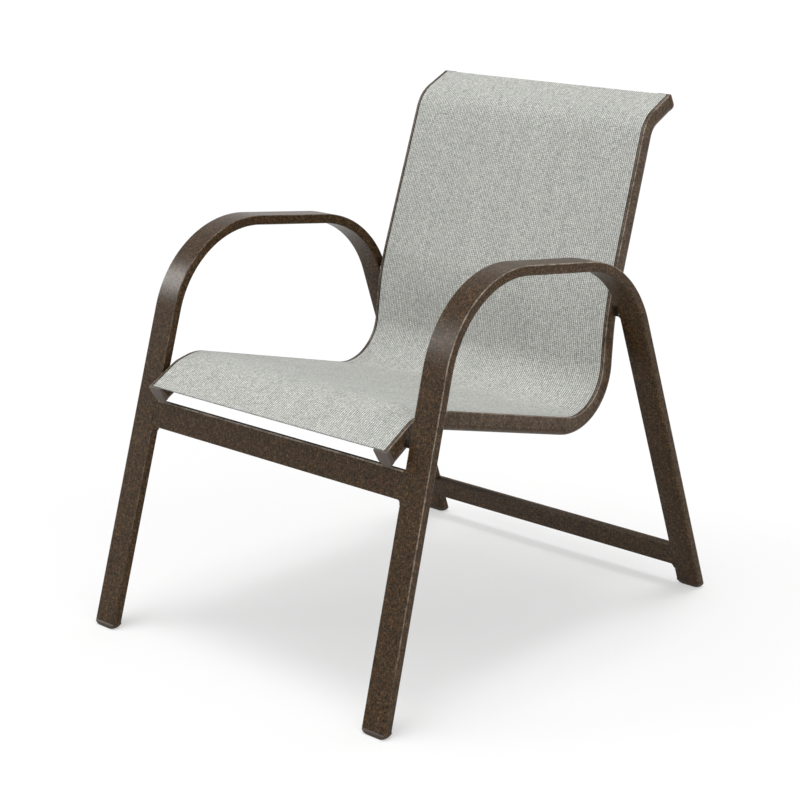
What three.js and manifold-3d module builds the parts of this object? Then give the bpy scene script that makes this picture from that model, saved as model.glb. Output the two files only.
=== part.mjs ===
// Sling patio chair: two bent side frames, two cross rails, and a woven sling stretched between two rails.
// Millimetres, +Z up, the chair faces -Y, the floor is at Z = 0 and X = 0 is the middle plane.
import * as THREE from "three";
import { mergeVertices } from "three/addons/utils/BufferGeometryUtils.js";
import Module from "manifold-3d";

const wasm = await Module();
wasm.setup();

// Overall layout
const SEAT_HEIGHT = 440.5; // floor to the crest of the sling rails' top line, behind the seat's front
const HALF_DEPTH = 404.7; // middle plane to the outer face of a leg at the top of its foot, front and rear
const FRONT_LEG_LEAN = 180.7; // how far the front leg's line comes in from the foot to the armrest's line
const REAR_LEG_LEAN = 216.7;
const ARM_FRONT_RISE = 215.5; // above the seat height
const ARM_REAR_RISE = 164;
const ARM_FRONT = [FRONT_LEG_LEAN - HALF_DEPTH, SEAT_HEIGHT + ARM_FRONT_RISE]; // Y and Z where the leg's
const ARM_REAR = [HALF_DEPTH - REAR_LEG_LEAN, SEAT_HEIGHT + ARM_REAR_RISE]; // and the armrest's lines meet
const FRONT_BEND_RADIUS = 175;
const REAR_BEND_RADIUS = 183;
const FRAME_OUTER_X = 306.5; // outer face of a side frame at armrest height, half way back
const SIDE_TOE = -0.0116; // each side comes in toward the rear by this share
const SIDE_SPLAY = -0.0189; // each side comes in toward the top by this share

// Flat tubes of the frame
const FRAME_WIDTH = 45.5;
const FRAME_THICKNESS = 16;
const FRAME_EDGE = 1.2; // radius along the outer face's two edges
const FRAME_CORNER = 3.5; // radius along the inner face's two edges
const FRAME_WALL = 2;
const FRONT_RAIL_WIDTH = 43.5;
const REAR_RAIL_WIDTH = 38.5;
const FRONT_RAIL_DROP = 72.4; // from the sling rail's front end to the front cross rail's lower edge
const REAR_RAIL_BOTTOM_Z = 36;
const WELD_GAP = 0.3; // the weld seam between a cross rail and a leg

// Sling rail: Y and Z where the straight lines of its top face meet, from the seat's front to the back's top
// Each Y is set in from the outer edge of the nearer foot, so the rail keeps its place on the legs
const SPACER_SPACE = 11.9; // between a side frame and a sling rail
const RAIL_FRONT_INSET = 77;
const SEAT_NOSE_INSET = 130.1;
const SEAT_CREST_INSET = 170;
const SEAT_REAR_INSET = 227;
const BACK_LUMBAR_INSET = 209.7;
const BACK_CREST_INSET = 112.5;
const RAIL_TOP_INSET = 49.6;
const RAIL_FRONT_DROP = 40.6; // below the seat height
const SEAT_NOSE_DROP = 9.7;
const SEAT_REAR_DROP = 105.3;
const BACK_LUMBAR_RISE = 68.4; // above the seat height
const BACK_CREST_RISE = 365.9;
const RAIL_TOP_RISE = 396.9;
const FRONT_Y = -HALF_DEPTH;
const REAR_Y = HALF_DEPTH;
const RAIL_FRONT = [FRONT_Y + RAIL_FRONT_INSET, SEAT_HEIGHT - RAIL_FRONT_DROP];
const SEAT_NOSE = [FRONT_Y + SEAT_NOSE_INSET, SEAT_HEIGHT - SEAT_NOSE_DROP];
const SEAT_CREST = [FRONT_Y + SEAT_CREST_INSET, SEAT_HEIGHT];
const SEAT_REAR = [REAR_Y - SEAT_REAR_INSET, SEAT_HEIGHT - SEAT_REAR_DROP];
const BACK_LUMBAR = [REAR_Y - BACK_LUMBAR_INSET, SEAT_HEIGHT + BACK_LUMBAR_RISE];
const BACK_CREST = [REAR_Y - BACK_CREST_INSET, SEAT_HEIGHT + BACK_CREST_RISE];
const RAIL_TOP = [REAR_Y - RAIL_TOP_INSET, SEAT_HEIGHT + RAIL_TOP_RISE];
const NOSE_RADIUS = 50;
const CREST_RADIUS = 75;
const SEAT_REAR_RADIUS = 76;
const LUMBAR_RADIUS = 420;
const BACK_CREST_RADIUS = 58;
const RAIL_WIDTH = 26;
const RAIL_DEPTH = 29;
const RAIL_WALL = 2;
const ROUND_STEPS = 6; // straight pieces of the rail's round bottom
const SHOULDER_RADIUS = 2;
const CREST_RISE = 0.8; // how far the lip outside the slot stands above the top face, to shield the sling's edge
const LIP_RADIUS = 1.5;
const SLOT_OUTER = 6.2; // from the rail's outer face to the slot's outer edge
const SLOT_WIDTH = 3;
const CHANNEL_CENTRE = 10.9; // from the rail's outer face
const CHANNEL_DEPTH = 7.6; // from the top face to the channel's middle
const CHANNEL_RADIUS = 5;
const CHAMBER_TOP = CHANNEL_DEPTH + CHANNEL_RADIUS + RAIL_WALL;

// Sling
const SLING_THICKNESS = 0.8;
const SLING_CLEARANCE = 0.3;
const SPLINE_RADIUS = 3;
const HEM_STEPS = 6; // straight pieces of the hem round the spline
const HEM_FROM_ANGLE = -55; // degrees round the spline, from the hem's free edge to its neck
const HEM_TO_ANGLE = 215;
const NECK_SHARE = 0.35; // of the neck's depth, where the sling starts to rise straight

// Fasteners and fittings
const BOLT_RADIUS = 3;
const BOLT_CLEARANCE = 0.4;
const BOLT_HEAD_RADIUS = 5.5;
const BOLT_HEAD_HEIGHT = 3.5;
const BOLT_DOME_SHARE = 0.86; // of the head's radius, half way up
const BOLT_LINE = 18.2; // depth of the bolts' line below the rail's top face
const SOCKET_SIZE = 4;
const SOCKET_DEPTH = 2;
const INSERT_GRIP = 9; // how far the bolt reaches past the side frame's inner face
const INSERT_RADIUS = 4.5;
const INSERT_LENGTH = 11;
const INSERT_FLANGE_RADIUS = 6.5;
const INSERT_FLANGE = 1;
const SPACER_RADIUS = 6;
const CONTACT_GAP = 0.3; // between pieces that touch, so that no two solids share space
const SPREADER_RADIUS = 8.5;
const SPREADER_WALL = 1.5;
const SPREADER_LINE = 19.2; // depth of the bars' middle below the rail's top face
const SPREADER_SHARES = [0.22, 0.46, 0.84]; // places along the rail, from the seat's front
const PLUG_FLANGE = 2;
const PLUG_LENGTH = 16;
const PLUG_PIN_RADIUS = 4;
const PLUG_PIN_REACH = 3.4;
const CAP_COVER = 3;
const CAP_PLUG = 14;
const CAP_CLEARANCE = 0.35;
const CAP_CHAMFER = 0.75;
const CAP_PLUG_CORNER = 0.8;
const GLIDE_THICKNESS = 8;
const GLIDE_ROUND = 6; // radius of the foot's lower edge
const GLIDE_ROUND_STEPS = 3;
const GLIDE_CORNER = 1.5;
const GLIDE_PLUG = 20;
const GLIDE_CLEARANCE = 0.35;

const CUT_OVERRUN = 2; // how far every cut reaches past the wall it opens
const MERGE_DISTANCE = 0.0001;
const FULL_TURN_ANGLE = 360;
const BEND_STEP_ANGLE = THREE.MathUtils.degToRad(8.4); // turn of one straight piece in a bend

const FINISHES = {
  frame_bronze: { color: 0x4a3a2c, metalness: 0.3, roughness: 0.5 },
  sling_mesh: { color: 0xb9bbb4, metalness: 0, roughness: 0.9 },
  dark_plastic: { color: 0x3a332c, metalness: 0, roughness: 0.6 },
  cap_plastic: { color: 0x5f554d, metalness: 0, roughness: 0.6 },
  spline_plastic: { color: 0x2a2a2a, metalness: 0, roughness: 0.7 },
  plain_steel: { color: 0x9a9a98, metalness: 1, roughness: 0.4 },
};

// How far a side shifts outward at a place in its profile
const sideShift = (y, z) => SIDE_TOE * y + SIDE_SPLAY * (z - ARM_FRONT[1]);

const FRAME_INNER_X = FRAME_OUTER_X - FRAME_WIDTH;
const RAIL_OUTER_X = FRAME_INNER_X - SPACER_SPACE;

// Below this X nothing belongs to a side, so the shift fades out toward the middle
const SIDE_INNER_X = RAIL_OUTER_X - RAIL_WIDTH;

const root = new THREE.Group();
root.name = "sling_patio_chair";

// Makes a named node from corner points and triangles, leaned with its side and facing outward
function addNode(name, finish, { points, triangles }) {
  const leaned = points.map(([x, y, z]) => {
    const share = THREE.MathUtils.clamp(x / SIDE_INNER_X, -1, 1);
    return [x + share * sideShift(y, z), y, z];
  });
  const geometry = new THREE.BufferGeometry();
  geometry.setAttribute("position", new THREE.Float32BufferAttribute(leaned.flat(), 3));
  geometry.setIndex(outward(leaned, triangles).flat());
  geometry.computeVertexNormals();
  const mesh = new THREE.Mesh(geometry, new THREE.MeshStandardMaterial(FINISHES[finish]));
  mesh.name = name;
  root.add(mesh);
}

// Turns all triangles round if the body they close is inside out
function outward(points, triangles) {
  let volume = 0;
  for (const [i, j, k] of triangles) {
    const a = new THREE.Vector3(...points[i]);
    const b = new THREE.Vector3(...points[j]);
    volume += a.dot(b.cross(new THREE.Vector3(...points[k])));
  }
  return volume < 0 ? triangles.map(([i, j, k]) => [i, k, j]) : triangles;
}

// Skins a row of sections; each station is a frame and its own rings of 2D points
// A station's rings are the outline first and then any holes, with equal counts along the row
function skin(stations) {
  const points = [];
  const triangles = [];
  const place = ({ at, side, depth }, [p, v]) =>
    at.map((value, axis) => value + side[axis] * p + depth[axis] * v);
  const starts = stations.map((station) => {
    const start = points.length;
    for (const ring of station.rings) for (const point of ring) points.push(place(station, point));
    return start;
  });
  for (let s = 0; s + 1 < stations.length; s++) {
    let offset = 0;
    for (const ring of stations[s].rings) {
      for (let i = 0; i < ring.length; i++) {
        const j = (i + 1) % ring.length;
        const [a, b] = [starts[s] + offset + i, starts[s] + offset + j];
        const [c, d] = [starts[s + 1] + offset + i, starts[s + 1] + offset + j];
        triangles.push([a, b, d], [a, d, c]);
      }
      offset += ring.length;
    }
  }
  for (const end of [0, stations.length - 1]) {
    const [outline, ...holes] = stations[end].rings.map((ring) => ring.map(([p, v]) => new THREE.Vector2(p, v)));
    for (const [i, j, k] of THREE.ShapeUtils.triangulateShape(outline, holes)) {
      const face = [starts[end] + i, starts[end] + j, starts[end] + k];
      triangles.push(end === 0 ? face.reverse() : face);
    }
  }
  return { points, triangles };
}

const signedArea = (ring) =>
  ring.reduce((sum, [p, v], i) => {
    const [q, w] = ring[(i + 1) % ring.length];
    return sum + p * w - q * v;
  }, 0) / 2;

// Outlines run one way and holes the other, as a triangulated cap needs
const outline = (ring) => (signedArea(ring) < 0 ? [...ring].reverse() : ring);
const hole = (ring) => (signedArea(ring) > 0 ? [...ring].reverse() : ring);

const arc = (p, v, radius, from, to, steps) =>
  Array.from({ length: steps + 1 }, (_, i) => {
    const angle = THREE.MathUtils.degToRad(from + ((to - from) * i) / steps);
    return [p + radius * Math.cos(angle), v + radius * Math.sin(angle)];
  });

// Rectangle with round corners, from its low corner to its high corner; its low side may have a radius of its own
function roundedRectangle(p0, v0, p1, v1, radius, steps = 3, lowRadius = radius) {
  return [
    ...arc(p1 - radius, v1 - radius, radius, 0, 90, steps),
    ...arc(p0 + radius, v1 - radius, radius, 90, 180, steps),
    ...arc(p0 + lowRadius, v0 + lowRadius, lowRadius, 180, 270, steps),
    ...arc(p1 - lowRadius, v0 + lowRadius, lowRadius, 270, 360, steps),
  ];
}

const circle = (radius, count, p = 0, v = 0) =>
  arc(p, v, radius, 0, FULL_TURN_ANGLE - FULL_TURN_ANGLE / count, count - 1);

const corner = ([y, z], radius) => ({ y, z, radius });

// Path in the side view through corners with round bends: a list of places with the way along
function bentPath(corners) {
  const places = [{ y: corners[0].y, z: corners[0].z }];
  for (let i = 1; i + 1 < corners.length; i++) {
    const here = new THREE.Vector2(corners[i].y, corners[i].z);
    const back = new THREE.Vector2(corners[i - 1].y, corners[i - 1].z).sub(here).normalize();
    const ahead = new THREE.Vector2(corners[i + 1].y, corners[i + 1].z).sub(here).normalize();
    const turn = Math.PI - back.angleTo(ahead);
    const reach = corners[i].radius * Math.tan(turn / 2);
    const middle = back.clone().add(ahead).normalize();
    const centre = here.clone().addScaledVector(middle, corners[i].radius / Math.cos(turn / 2));
    const start = here.clone().addScaledVector(back, reach).sub(centre);
    const sense = Math.sign(start.cross(here.clone().addScaledVector(ahead, reach).sub(centre)));
    const steps = Math.max(2, Math.round(turn / BEND_STEP_ANGLE));
    for (let k = 0; k <= steps; k++) {
      const spoke = start.clone().rotateAround(new THREE.Vector2(), (sense * turn * k) / steps);
      places.push({ y: centre.x + spoke.x, z: centre.y + spoke.y });
    }
  }
  const last = corners[corners.length - 1];
  places.push({ y: last.y, z: last.z });
  return places;
}

// Unit step from one place to the next
function along(from, to) {
  const length = Math.hypot(to.y - from.y, to.z - from.z);
  return [(to.y - from.y) / length, (to.z - from.z) / length];
}

// Frames along a path: depth points to the right of the way, stretched at kinks to keep the thickness
function pathFrames(places, side) {
  return places.map((place, i) => {
    const ways = [];
    if (i > 0) ways.push(along(places[i - 1], place));
    if (i + 1 < places.length) ways.push(along(place, places[i + 1]));
    const y = ways.reduce((sum, way) => sum + way[0], 0);
    const z = ways.reduce((sum, way) => sum + way[1], 0);
    const length = Math.hypot(y, z);
    const [wayY, wayZ] = [y / length, z / length];
    const stretch = 1 / (wayY * ways[0][0] + wayZ * ways[0][1]);
    const depth = [0, wayZ * stretch, -wayY * stretch];
    return { at: [0, place.y, place.z], side: [side, 0, 0], depth, way: [wayY, wayZ] };
  });
}

// The place and frame at a length along a path
function frameAt(places, length, side) {
  let left = length;
  for (let i = 0; i + 1 < places.length; i++) {
    const step = Math.hypot(places[i + 1].y - places[i].y, places[i + 1].z - places[i].z);
    if (left <= step || i + 2 === places.length) {
      const [y, z] = along(places[i], places[i + 1]);
      return {
        at: [0, places[i].y + y * left, places[i].z + z * left],
        side: [side, 0, 0],
        depth: [0, z, -y],
        way: [y, z],
      };
    }
    left -= step;
  }
}

const pathLength = (places) =>
  places.slice(1).reduce((sum, place, i) => sum + Math.hypot(place.y - places[i].y, place.z - places[i].z), 0);

// Moves a frame along its own axes
function moved({ at, side, depth, way }, p, v, w) {
  const place = at.map((value, axis) => value + side[axis] * p + depth[axis] * v + [0, ...way][axis] * w);
  return { at: place, side, depth, way };
}

// Round bar along X: rows of X and radius, or of X and a ready ring
function turned(y, z, rows, count = 12) {
  return skin(
    rows.map(([x, shape]) => ({
      at: [x, y, z],
      side: [0, 1, 0],
      depth: [0, 0, 1],
      rings: [typeof shape === "number" ? circle(shape, count) : shape],
    })),
  );
}

// Round tube along X: rows of X and radius that close on themselves
function turnedRing(y, z, rows, count = 12) {
  const points = [];
  const triangles = [];
  for (let i = 0; i < count; i++) {
    const angle = (2 * Math.PI * i) / count;
    for (const [x, radius] of rows) points.push([x, y + radius * Math.cos(angle), z + radius * Math.sin(angle)]);
  }
  for (let i = 0; i < count; i++)
    for (let k = 0; k < rows.length; k++) {
      const next = ((i + 1) % count) * rows.length;
      const [a, b] = [i * rows.length + k, i * rows.length + ((k + 1) % rows.length)];
      const [c, d] = [next + k, next + ((k + 1) % rows.length)];
      triangles.push([a, b, d], [a, d, c]);
    }
  return { points, triangles };
}

// Cuts one body from another
function toSolid({ points, triangles }) {
  const geometry = new THREE.BufferGeometry();
  geometry.setAttribute("position", new THREE.Float32BufferAttribute(points.flat(), 3));
  geometry.setIndex(outward(points, triangles).flat());
  const merged = mergeVertices(geometry, MERGE_DISTANCE);
  const vertProperties = new Float32Array(merged.attributes.position.array);
  const triVerts = new Uint32Array(merged.index.array);
  return new wasm.Manifold(new wasm.Mesh({ numProp: 3, vertProperties, triVerts }));
}

function withHoles(body, cutters) {
  let solid = toSolid(body);
  for (const cutter of cutters) solid = solid.subtract(toSolid(cutter));
  const { numProp, numVert, vertProperties, triVerts } = solid.getMesh();
  const points = Array.from({ length: numVert }, (_, i) => [...vertProperties.slice(i * numProp, i * numProp + 3)]);
  const triangles = Array.from({ length: triVerts.length / 3 }, (_, i) => [...triVerts.slice(i * 3, i * 3 + 3)]);
  return { points, triangles };
}

// Side frame: the line of its outer, top face from the front foot over the arm to the rear foot
const framePlaces = bentPath([
  corner([-HALF_DEPTH, GLIDE_THICKNESS]),
  corner(ARM_FRONT, FRONT_BEND_RADIUS),
  corner(ARM_REAR, REAR_BEND_RADIUS),
  corner([HALF_DEPTH, GLIDE_THICKNESS]),
]);
const railPlaces = bentPath([
  corner(RAIL_FRONT),
  corner(SEAT_NOSE, NOSE_RADIUS),
  corner(SEAT_CREST, CREST_RADIUS),
  corner(SEAT_REAR, SEAT_REAR_RADIUS),
  corner(BACK_LUMBAR, LUMBAR_RADIUS),
  corner(BACK_CREST, BACK_CREST_RADIUS),
  corner(RAIL_TOP),
]);

// Tube section with its outer side face at p = 0, growing inward, and crisper edges on its outer face
function tubeRings(width, thickness) {
  const inner = FRAME_WALL;
  return [
    outline(roundedRectangle(0, 0, width, thickness, FRAME_CORNER, 3, FRAME_EDGE)),
    hole(roundedRectangle(inner, inner, width - inner, thickness - inner, FRAME_CORNER - inner, 2)),
  ];
}

// The feet are cut level, so the end sections lie flat
function levelEnd(frame) {
  const [wayY, wayZ] = frame.way;
  return { ...frame, depth: [0, frame.depth[1] - (frame.depth[2] * wayY) / wayZ, 0] };
}

function sideFrameBody(side) {
  const frames = pathFrames(framePlaces, -side);
  const rings = tubeRings(FRAME_WIDTH, FRAME_THICKNESS);
  const last = frames.length - 1;
  return skin(
    frames.map((frame, i) => {
      const cut = i === 0 || i === last ? levelEnd(frame) : frame;
      return { ...cut, at: [side * FRAME_OUTER_X, cut.at[1], cut.at[2]], rings };
    }),
  );
}

// Where two side-view lines cross: the places of both, each moved by its own depth
function crossings(places, depth, otherPlaces, otherDepth) {
  const line = (list, shift) =>
    pathFrames(list, 1).map((frame) => frame.at.slice(1).map((value, i) => value + frame.depth[i + 1] * shift));
  const [one, other] = [line(places, depth), line(otherPlaces, otherDepth)];
  const found = [];
  for (let i = 0; i + 1 < one.length; i++)
    for (let k = 0; k + 1 < other.length; k++) {
      const [a, b, c, d] = [one[i], one[i + 1], other[k], other[k + 1]];
      const [ry, rz, sy, sz] = [b[0] - a[0], b[1] - a[1], d[0] - c[0], d[1] - c[1]];
      const cross = ry * sz - rz * sy;
      const t = ((c[0] - a[0]) * sz - (c[1] - a[1]) * sy) / cross;
      const u = ((c[0] - a[0]) * rz - (c[1] - a[1]) * ry) / cross;
      if (t >= 0 && t < 1 && u >= 0 && u < 1) found.push([a[0] + ry * t, a[1] + rz * t]);
    }
  return found;
}

const boltPlaces = crossings(railPlaces, BOLT_LINE, framePlaces, FRAME_THICKNESS / 2);
const BOLT_NAMES = ["front", "rear"];

// Bars sit at shares of the rail's length
const spreaderPlaces = SPREADER_SHARES.map((share) => {
  const frame = moved(frameAt(railPlaces, share * pathLength(railPlaces), 1), 0, SPREADER_LINE, 0);
  return [frame.at[1], frame.at[2]];
});
const SPREADER_NAMES = ["seat_front", "seat_rear", "back"];

// Sling rail section, p from the outer face inward and v from the top face down
function railRings() {
  const [half, straight] = [RAIL_WIDTH / 2, RAIL_DEPTH - RAIL_WIDTH / 2];
  const slotInner = SLOT_OUTER + SLOT_WIDTH;
  const mouth = (p) => {
    const rise = Math.sqrt(CHANNEL_RADIUS ** 2 - (p - CHANNEL_CENTRE) ** 2);
    return THREE.MathUtils.radToDeg(Math.atan2(-rise, p - CHANNEL_CENTRE));
  };
  const body = [
    [SLOT_OUTER, -CREST_RISE],
    ...arc(SHOULDER_RADIUS, SHOULDER_RADIUS - CREST_RISE, SHOULDER_RADIUS, 270, 180, 2),
    ...arc(half, straight, half, 180, 0, ROUND_STEPS),
    ...arc(RAIL_WIDTH - LIP_RADIUS, LIP_RADIUS, LIP_RADIUS, 0, -90, 2),
    [slotInner, 0],
    ...arc(CHANNEL_CENTRE, CHANNEL_DEPTH, CHANNEL_RADIUS, mouth(slotInner), mouth(SLOT_OUTER) + FULL_TURN_ANGLE, 6),
  ];
  const bore = half - RAIL_WALL;
  const chamber = [
    [RAIL_WALL, CHAMBER_TOP],
    ...arc(half, straight, bore, 180, 0, ROUND_STEPS),
    [RAIL_WIDTH - RAIL_WALL, CHAMBER_TOP],
  ];
  return [outline(body), hole(chamber)];
}

// A body drawn out along the rail's whole path, in the rail's section coordinates
function alongRail(side, rings) {
  return skin(
    pathFrames(railPlaces, -side).map((frame) => ({
      ...frame,
      at: [side * RAIL_OUTER_X, frame.at[1], frame.at[2]],
      rings,
    })),
  );
}

// Sling section on the +X side: from the hem round the spline, up the slot and inward
function slingEdge(offset) {
  const turnRadius = SPLINE_RADIUS + SLING_CLEARANCE + offset;
  const rise = SLOT_OUTER + SLOT_WIDTH / 2;
  const hem = arc(CHANNEL_CENTRE, CHANNEL_DEPTH, turnRadius, HEM_FROM_ANGLE, HEM_TO_ANGLE, HEM_STEPS);
  const neck = hem[HEM_STEPS][1] * NECK_SHARE;
  const top = -SLING_CLEARANCE - offset;
  return { hem, rise, neck, top };
}

function slingRing() {
  const near = slingEdge(0);
  const far = slingEdge(SLING_THICKNESS);
  const half = SLING_THICKNESS / 2;
  const toX = ([p, v]) => [RAIL_OUTER_X - p, v];
  // From the hem's free end round the spline and out of the slot, inner face then outer face
  const inner = [...near.hem, [near.rise + half, near.neck], [near.rise + half, near.top]];
  const outer = [...far.hem, [far.rise - half, far.neck], [far.rise - half, far.top]];
  const rightInner = inner.map(toX);
  const rightOuter = outer.map(toX);
  const mirror = (ring) => ring.map(([x, v]) => [-x, v]);
  return outline([...rightInner, ...mirror(rightInner).reverse(), ...mirror(rightOuter), ...rightOuter.reverse()]);
}

for (const [sideName, side] of [["left", -1], ["right", 1]]) {
  const rodX = (radius, from, to, y, z) => turned(y, z, [[side * from, radius], [side * to, radius]]);

  const frameHoles = boltPlaces.map(([y, z]) =>
    rodX(INSERT_RADIUS + BOLT_CLEARANCE, FRAME_INNER_X - CUT_OVERRUN, FRAME_INNER_X + FRAME_WALL + CUT_OVERRUN, y, z),
  );
  addNode(`${sideName}_side_frame`, "frame_bronze", withHoles(sideFrameBody(side), frameHoles));

  const boltHoles = boltPlaces.map(([y, z]) =>
    rodX(BOLT_RADIUS + BOLT_CLEARANCE, SIDE_INNER_X - CUT_OVERRUN, RAIL_OUTER_X + CUT_OVERRUN, y, z),
  );
  const pinHoles = spreaderPlaces.map(([y, z]) =>
    rodX(PLUG_PIN_RADIUS + BOLT_CLEARANCE, SIDE_INNER_X - CUT_OVERRUN, SIDE_INNER_X + RAIL_WALL + CUT_OVERRUN, y, z),
  );
  const railBody = withHoles(alongRail(side, railRings()), [...boltHoles, ...pinHoles]);
  addNode(`${sideName}_sling_rail`, "frame_bronze", railBody);

  const splineRing = circle(SPLINE_RADIUS, 6, CHANNEL_CENTRE, CHANNEL_DEPTH);
  addNode(`${sideName}_sling_spline`, "spline_plastic", alongRail(side, [outline(splineRing)]));

  boltPlaces.forEach(([y, z], i) => {
    const name = `${sideName}_${BOLT_NAMES[i]}`;
    const headFace = SIDE_INNER_X - CONTACT_GAP;
    const socket = circle(SOCKET_SIZE / 2, 12).map(([p, v], k) =>
      k % 2 ? [p, v] : [p / Math.cos(Math.PI / 6), v / Math.cos(Math.PI / 6)],
    );
    const headRows = [
      [headFace - BOLT_HEAD_HEIGHT + SOCKET_DEPTH, socket],
      [headFace - BOLT_HEAD_HEIGHT, socket],
      [headFace - BOLT_HEAD_HEIGHT, BOLT_HEAD_RADIUS / 2],
      [headFace - BOLT_HEAD_HEIGHT / 2, BOLT_HEAD_RADIUS * BOLT_DOME_SHARE],
      [headFace, BOLT_HEAD_RADIUS],
      [headFace, BOLT_RADIUS],
      [FRAME_INNER_X + INSERT_GRIP, BOLT_RADIUS],
    ];
    addNode(`${name}_rail_bolt`, "plain_steel", turned(y, z, headRows.map(([x, shape]) => [side * x, shape])));

    const bore = BOLT_RADIUS + BOLT_CLEARANCE / 2;
    const flangeFace = FRAME_INNER_X - CONTACT_GAP - INSERT_FLANGE;
    const spacerRows = [
      [RAIL_OUTER_X + CONTACT_GAP, bore],
      [RAIL_OUTER_X + CONTACT_GAP, SPACER_RADIUS],
      [flangeFace - CONTACT_GAP, SPACER_RADIUS],
      [flangeFace - CONTACT_GAP, bore],
    ];
    addNode(`${name}_spacer`, "dark_plastic", turnedRing(y, z, spacerRows.map(([x, radius]) => [side * x, radius])));

    const insertRows = [
      [flangeFace, bore],
      [flangeFace, INSERT_FLANGE_RADIUS],
      [flangeFace + INSERT_FLANGE, INSERT_FLANGE_RADIUS],
      [flangeFace + INSERT_FLANGE, INSERT_RADIUS],
      [flangeFace + INSERT_LENGTH, INSERT_RADIUS],
      [flangeFace + INSERT_LENGTH, bore],
    ];
    addNode(`${name}_insert`, "plain_steel", turnedRing(y, z, insertRows.map(([x, radius]) => [side * x, radius])));
  });

  spreaderPlaces.forEach(([y, z], i) => {
    const plug = SPREADER_RADIUS - SPREADER_WALL - BOLT_CLEARANCE;
    const flange = SIDE_INNER_X - CONTACT_GAP;
    const rows = [
      [flange + CONTACT_GAP + PLUG_PIN_REACH, PLUG_PIN_RADIUS - BOLT_CLEARANCE],
      [flange + CONTACT_GAP + PLUG_PIN_REACH - BOLT_CLEARANCE, PLUG_PIN_RADIUS],
      [flange, PLUG_PIN_RADIUS],
      [flange, SPREADER_RADIUS],
      [flange - PLUG_FLANGE, SPREADER_RADIUS],
      [flange - PLUG_FLANGE, plug],
      [flange - PLUG_FLANGE - PLUG_LENGTH, plug - BOLT_CLEARANCE],
    ];
    addNode(
      `${sideName}_${SPREADER_NAMES[i]}_spreader_plug`,
      "dark_plastic",
      turned(y, z, rows.map(([x, radius]) => [side * x, radius])),
    );
  });

  // End caps: a cover over the rail's end with a plug in its chamber
  const half = RAIL_WIDTH / 2;
  const straight = RAIL_DEPTH - half;
  const capRing = (inset, top, outerCorner, innerCorner) => [
    ...arc(inset + outerCorner, top + outerCorner, outerCorner, 270, 180, 2),
    ...arc(half, straight, half - inset, 180, 0, ROUND_STEPS),
    ...arc(RAIL_WIDTH - inset - innerCorner, top + innerCorner, innerCorner, 0, -90, 2),
  ];
  const cover = (inset) => capRing(inset, inset, SHOULDER_RADIUS, LIP_RADIUS);
  const plugRing = capRing(RAIL_WALL + CAP_CLEARANCE, CHAMBER_TOP + CAP_CLEARANCE, CAP_PLUG_CORNER, CAP_PLUG_CORNER);
  const total = pathLength(railPlaces);
  for (const [endName, length, sense] of [["front", 0, -1], ["top", total, 1]]) {
    const end = frameAt(railPlaces, length, -side);
    const rows = [
      [sense * (CONTACT_GAP + CAP_COVER), cover(CAP_CHAMFER)],
      [sense * (CONTACT_GAP + CAP_COVER / 2), cover(0)],
      [sense * CONTACT_GAP, cover(0)],
      [sense * CONTACT_GAP, plugRing],
      [-sense * CAP_PLUG, plugRing],
    ];
    const body = skin(
      rows.map(([w, ring]) => {
        const frame = moved(end, 0, 0, w);
        return { ...frame, at: [side * RAIL_OUTER_X, frame.at[1], frame.at[2]], rings: [outline(ring)] };
      }),
    );
    addNode(`${sideName}_${endName}_rail_cap`, "cap_plastic", body);
  }

  // Foot glides
  const frames = pathFrames(framePlaces, -side);
  for (const [endName, frame, sense] of [["front", frames[0], 1], ["rear", frames[frames.length - 1], -1]]) {
    const level = levelEnd(frame);
    const [wayY, wayZ] = frame.way.map((value) => value * sense);
    const place = (z, inset, slide = 0) => ({
      at: [side * FRAME_OUTER_X, level.at[1] + slide, z],
      side: [-side, 0, 0],
      depth: level.depth,
      rings: [outline(roundedRectangle(inset, inset, FRAME_WIDTH - inset, FRAME_THICKNESS - inset, GLIDE_CORNER))],
    });
    const wall = FRAME_WALL + GLIDE_CLEARANCE;
    const leaning = (z, inset) => place(z, inset, ((z - GLIDE_THICKNESS) * wayY) / wayZ);
    const soleRings = Array.from({ length: GLIDE_ROUND_STEPS + 1 }, (_, k) => {
      const angle = ((Math.PI / 2) * k) / GLIDE_ROUND_STEPS;
      return leaning(GLIDE_ROUND * (1 - Math.cos(angle)), GLIDE_ROUND * (1 - Math.sin(angle)));
    });
    addNode(
      `${sideName}_${endName}_glide`,
      "cap_plastic",
      skin([
        ...soleRings,
        place(GLIDE_THICKNESS - CONTACT_GAP, 0),
        place(GLIDE_THICKNESS - CONTACT_GAP, wall),
        place(GLIDE_THICKNESS + GLIDE_PLUG, wall + GLIDE_CLEARANCE, (GLIDE_PLUG * wayY) / wayZ),
      ]),
    );
  }
}

// Cross rails: straight tubes between the legs, tilted with them and flush with their front faces
function crossRail(name, width, bottomZ, foot, bend) {
  const way = along(corner(foot), corner(bend));
  const inward = [way[1], -way[0]];
  const start = [foot[0] + ((bottomZ - foot[1]) * way[0]) / way[1], bottomZ];
  const rings = tubeRings(width, FRAME_THICKNESS);
  const reach = FRAME_INNER_X - WELD_GAP;
  const stations = [-reach, reach].map((x) => ({
    at: [x, start[0], start[1]],
    side: [0, ...way],
    depth: [0, ...inward],
    rings,
  }));
  addNode(name, "frame_bronze", skin(stations));
}

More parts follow.
